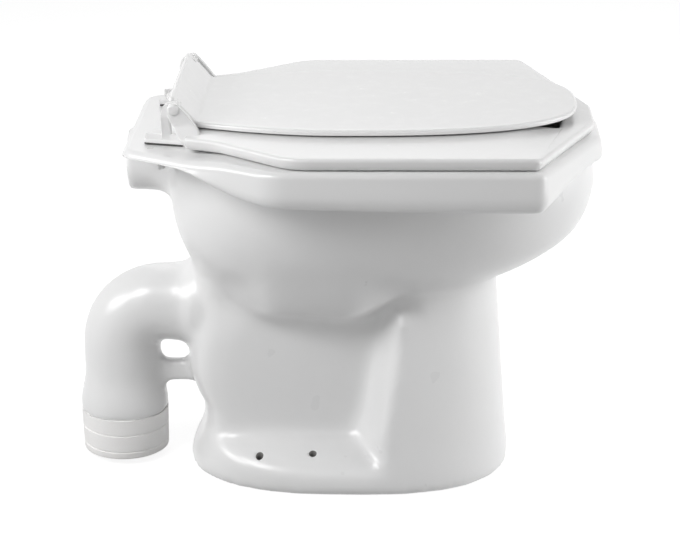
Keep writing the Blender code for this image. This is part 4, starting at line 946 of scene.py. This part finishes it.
for node in ["fixing_bolt_left", "fixing_bolt_right", "nut_washer_left", "nut_washer_right"]:
    hinge_parts.append(bpy.data.objects[node])
for corner in ("front_left", "front_right", "rear_left", "rear_right"):
    rubber_parts += [bpy.data.objects[part + "_buffer_" + corner] for part in ("seat", "lid")]
print(len(hinge_parts), "hinge parts,", len(rubber_parts), "rubber parts")

# %% [markdown]
# ## Writing materials as sums
# Material maths reads best as ordinary arithmetic. `Value` wraps a shader socket, and each
# operator adds one Math node. `Nodes` makes every other node from its type, its settings and
# then its inputs.

# %% Node helpers
class Value:
    """A socket that takes part in arithmetic: every operator adds one Math node."""

    def __init__(self, nodes, socket):
        self.nodes, self.socket = nodes, socket

    def math(self, operation, *inputs):
        """One Math node on any sockets or numbers."""
        return self.nodes.add("ShaderNodeMath", {"operation": operation}, *inputs)

    def __add__(self, other):
        return self.math("ADD", self, other)

    def __sub__(self, other):
        return self.math("SUBTRACT", self, other)

    def __rsub__(self, other):
        return self.math("SUBTRACT", other, self)

    def __mul__(self, other):
        return self.math("MULTIPLY", self, other)

    def __pow__(self, other):
        return self.math("POWER", self, other)

    def __abs__(self):
        return self.math("ABSOLUTE", self)

    def most(self, other):
        """The larger of the two."""
        return self.math("MAXIMUM", self, other)

    def smooth(self, low, high):
        """0 below low, 1 above high and an S curve between."""
        settings = {"interpolation_type": "SMOOTHSTEP"}
        return self.nodes.add("ShaderNodeMapRange", settings, self, low, high)

    __radd__, __rmul__ = __add__, __mul__


class Nodes:
    """The node tree of a material or a world."""

    def __init__(self, owner):
        owner.use_nodes = True
        self.tree = owner.node_tree

    def add(self, kind, settings=None, *inputs, output=0, **named):
        """A new node: settings first, then its inputs in order or by name; returns one output."""
        node = self.tree.nodes.new(kind)
        for key, value in (settings or {}).items():
            setattr(node, key, value)
        for key, value in enumerate(inputs):
            self.fill(node.inputs[key], value)
        self.fill_named(node, named)
        return Value(self, node.outputs[output])

    def fill_named(self, node, named):
        """Fills inputs by name, with a low line in place of a space."""
        for key, value in named.items():
            self.fill(node.inputs[key.replace("_", " ")], value)

    def fill(self, socket, value):
        """Links a Value to a socket, or writes a plain number or colour on it."""
        if isinstance(value, Value):
            self.tree.links.new(value.socket, socket)
        else:
            socket.default_value = value

    def place(self):
        """The position in the object's own space."""
        return self.add("ShaderNodeTexCoord", output="Object")

    def along(self, axis):
        """One coordinate of that position."""
        return self.add("ShaderNodeSeparateXYZ", Vector=self.place(), output=axis)

    def noise(self, scale, detail=2.0, roughness=.5):
        """Smooth noise from 0 to 1 in the object's own space; scale is in waves a metre."""
        return self.add("ShaderNodeTexNoise", Vector=self.place(), Scale=scale, Detail=detail,
                        Roughness=roughness)

    def blend(self, share, one, other):
        """A mix of two colours."""
        mix = self.add("ShaderNodeMix", {"data_type": "RGBA"}, share, output=2)
        self.fill(mix.socket.node.inputs[6], one)
        self.fill(mix.socket.node.inputs[7], other)
        return mix

    def finish(self, bump=None, depth=.0, **named):
        """Fills the shader's sockets and puts a bump of the given depth in metres under them."""
        shader = self.tree.nodes["Principled BSDF"]
        self.fill_named(shader, named)
        if bump is not None:
            normal = self.add("ShaderNodeBump", Height=bump, Distance=depth, Strength=1.0)
            self.fill(shader.inputs["Normal"], normal)


def grey(level, warm=0.0):
    """A grey with a little more red than blue."""
    return (level * (1 + warm), level, level * (1 - warm), 1)


print("a warm grey", grey(.5, .02))

# %% [markdown]
# ## Glaze
# Glaze lies in slow waves, thicker in one place than another. That shows in three ways: the
# white shifts a little, the gloss is uneven, and highlights waver. A few pinholes and dull
# specks are where gas broke through in the kiln. The walls of the screw holes are left bare,
# and a mask paints them dark: painted shade, for the shadow deep in the holes.

# %% Glaze
def painted(pieces, material):
    """Gives pieces one material."""
    for piece in pieces:
        piece.data.materials.clear()
        piece.data.materials.append(material)
    print(material.name, "on", len(pieces), "pieces,", len(material.node_tree.nodes), "nodes")


def glaze_material():
    """White glaze: slow noise moves its white and its gloss, and rare high spots of a fine noise
    are the specks. A ring round each screw hole's axis, low down only, is the mask of painted
    shade that darkens the holes."""
    material = bpy.data.materials.new("white_glaze")
    nodes = Nodes(material)
    pool = nodes.noise(9, 3)
    wave = nodes.noise(34, 2)
    speck = nodes.noise(520, 1).smooth(.77, .80)
    white = nodes.blend(pool, grey(.800, -.004), grey(.835, .004))
    x, y, z = (nodes.along(axis) for axis in "XYZ")
    rear, front = SCREW_AHEAD
    side, along = abs(x) - SCREW_X, abs(y + (rear + front) / 2) - (front - rear) / 2
    # A mask for the screw holes, low down only: it paints shade into them.
    beside = ((side * side + along * along) ** .5).smooth(SCREW_RADIUS - .0001, .0044)
    hole = (1 - beside) * (1 - z.smooth(.060, .065))
    specked = nodes.blend(speck * .25, white, grey(.55, .02))
    # The near-black that hole blends in is painted shade for the deep screw holes; hole also raises
    # the roughness of their bare walls.
    nodes.finish(Base_Color=nodes.blend(hole, specked, grey(.09, .06)),
                 Roughness=wave * .06 + pool * .04 + speck * .2 + hole * .4 + .24,
                 Coat_Weight=.2, Coat_Roughness=.2, IOR=1.49,
                 bump=wave + nodes.noise(140, 1) * .12 - speck * .05, depth=.00035)
    return material


painted([body, rim], glaze_material())

# %% [markdown]
# ## Bare clay
# The outlet shows the fired body without glaze: matt, a shade warmer, with a fine sandy grain
# and darker dust along its lower edge.

# %% Unglazed outlet
def biscuit_material():
    """Bare clay: a mix of fine grain and soft clouds, with dust where the height is least."""
    material = bpy.data.materials.new("unglazed_body")
    nodes = Nodes(material)
    grain = nodes.noise(900, 3, .6)
    cloud = nodes.noise(30, 3)
    dust = (1 - nodes.along("Z").smooth(.008, .016)) * cloud
    clay = nodes.blend(cloud * .5 + grain * .5, grey(.92, .012), grey(.96, .006))
    nodes.finish(Base_Color=nodes.blend(dust * .5, clay, grey(.62, .05)),
                 Roughness=grain * .2 + .7, bump=grain, depth=.0004)
    return material


painted([outlet], biscuit_material())

# %% [markdown]
# ## Moulded plastic and rubber
# Seat and lid are glossy urea: even in colour, with a faint sink where the moulding is thick
# and hairline rubbing that dulls it in patches. The hinge parts are nylon, a little duller and
# grained. The rubber is matt and dusty.

# %% Plastics and rubber
def plastic_material(name, level, gloss, grain):
    """A moulded plastic: its grey level, its lowest roughness and how fine its grain is."""
    material = bpy.data.materials.new(name)
    nodes = Nodes(material)
    sink = nodes.noise(7, 1)
    rub = nodes.noise(60, 4, .65).smooth(.42, .72)
    fine = nodes.noise(grain, 2)
    nodes.finish(Base_Color=nodes.blend(sink, grey(level), grey(level * 1.03, .003)),
                 Roughness=rub * .08 + fine * .04 + gloss,
                 bump=sink * 2.0 + fine * .06, depth=.0003)
    return material


def rubber_material():
    """Dark matt rubber under patches of dust."""
    material = bpy.data.materials.new("rubber")
    nodes = Nodes(material)
    grain, dust = nodes.noise(700, 2), nodes.noise(90, 4, .7).smooth(.45, .8)
    nodes.finish(Base_Color=nodes.blend(dust * .5, grey(.045), grey(.16, .02)),
                 Roughness=grain * .2 + dust * .15 + .55, bump=grain, depth=.0002)
    return material


painted([seat, lid], plastic_material("seat_plastic", .82, .17, 1100))
painted(hinge_parts, plastic_material("hinge_nylon", .80, .30, 1500))
painted(rubber_parts, rubber_material())

# %% [markdown]
# ## Camera
# The camera stands where the photograph was taken from: almost square to the long side, a
# little above the lid, far enough off for a calm perspective.

# %% Camera
camera = bpy.data.objects.new("camera", bpy.data.cameras.new("camera"))
bpy.context.collection.objects.link(camera)
bpy.context.scene.camera = camera
camera.data.sensor_width, camera.data.lens = 36, 114.35
target = Vector((0, -.006, .2107))
azimuth, elevation, roll = np.radians(-88.1), np.radians(19.69), np.radians(-.51)
distance, level = 2.382, np.cos(elevation)
back = Vector((np.sin(azimuth) * level, -np.cos(azimuth) * level, np.sin(elevation)))
facing = back.to_track_quat("Z", "Y").to_matrix().to_4x4() @ Matrix.Rotation(roll, 4, "Z")
camera.matrix_world = Matrix.Translation(target + back * distance) @ facing
print("camera at", [round(v, 3) for v in camera.matrix_world.translation])

# %% [markdown]
# ## Lamps
# Broad lamps stand ahead of the nose and over the far side, and two smaller ones behind, on the
# camera's side of the trap pipe, where they put soft spots on its bend and on the ledge. None
# faces the long near side squarely, so it goes grey and its folds show.

# %% Lamps
AIM = (0, 0, .25)


def lamp(name, place, size, power):
    """An oblong soft lamp that faces the closet."""
    data = bpy.data.lights.new(name, "AREA")
    data.shape, data.size, data.size_y, data.energy = "RECTANGLE", size[0], size[1], power
    item = bpy.data.objects.new(name, data)
    bpy.context.collection.objects.link(item)
    item.location = place
    item.rotation_euler = (Vector(AIM) - Vector(place)).to_track_quat("-Z", "Y").to_euler()


lamp("over_far_side", (1.3, 0, 1.8), (1.4, 2.0), 7.6)
lamp("far_side", (2.2, 0, 1.0), (2.0, 1.2), 2.6)
lamp("behind_near", (-.9, .9, 1.3), (.5, .5), 9.3)
lamp("behind_mid", (-.6, 1.4, .9), (.8, .5), 9.8)
lamp("ahead", (-.3, -2.1, 1.0), (1.9, 1.7), 17.0)
lamp("ahead_high", (-.2, -1.7, 1.8), (1.4, 1.2), 3.4)
lamp("ahead_level", (-.3, -2.1, .4), (1.0, .7), 13.4)
bpy.context.scene.view_settings.view_transform = "Standard"
print(len(bpy.data.lights), "lamps,", sum(item.energy for item in bpy.data.lights), "W")

# %% [markdown]
# ## Surround and floor
# Camera and reflections see a white surround; everything else sees a dim one. The floor glows
# in the same way, so that it looks white and still takes the closet's shadow.

# %% Surround and floor
AMBIENT, FLOOR_GLOW, FLOOR_LIGHT, FLOOR_HALF = .14, .47, 1.87, 6.0


def seen_directly(nodes):
    """1 for camera, glossy and transmission rays, 0 for the rest."""
    kind = {name: nodes.add("ShaderNodeLightPath", output=name)
            for name in ("Is Camera Ray", "Is Glossy Ray", "Is Transmission Ray")}
    return kind["Is Camera Ray"].most(kind["Is Glossy Ray"]).most(kind["Is Transmission Ray"])


world = bpy.data.worlds.new("studio")
bpy.context.scene.world = world
sky = Nodes(world)
sky_shader = sky.tree.nodes["Background"]
sky.fill(sky_shader.inputs["Color"], (1, 1, 1, 1))
sky.fill(sky_shader.inputs["Strength"], AMBIENT + (1 - AMBIENT) * seen_directly(sky))

floor = block("floor", (-FLOOR_HALF, FLOOR_HALF), (-FLOOR_HALF, FLOOR_HALF), (-.001, 0))
floor_material = bpy.data.materials.new("pale_floor")
ground = Nodes(floor_material)
ground.finish(Base_Color=ground.blend(ground.noise(3, 3), grey(.48), grey(.50)), Roughness=.9)
glow = ground.add("ShaderNodeEmission", {}, (1, 1, 1, 1), FLOOR_LIGHT)
plain = Value(ground, ground.tree.nodes["Principled BSDF"].outputs[0])
both = ground.add("ShaderNodeMixShader", {}, seen_directly(ground) * FLOOR_GLOW, plain, glow)
ground.fill(ground.tree.nodes["Material Output"].inputs["Surface"], both)
painted([floor], floor_material)
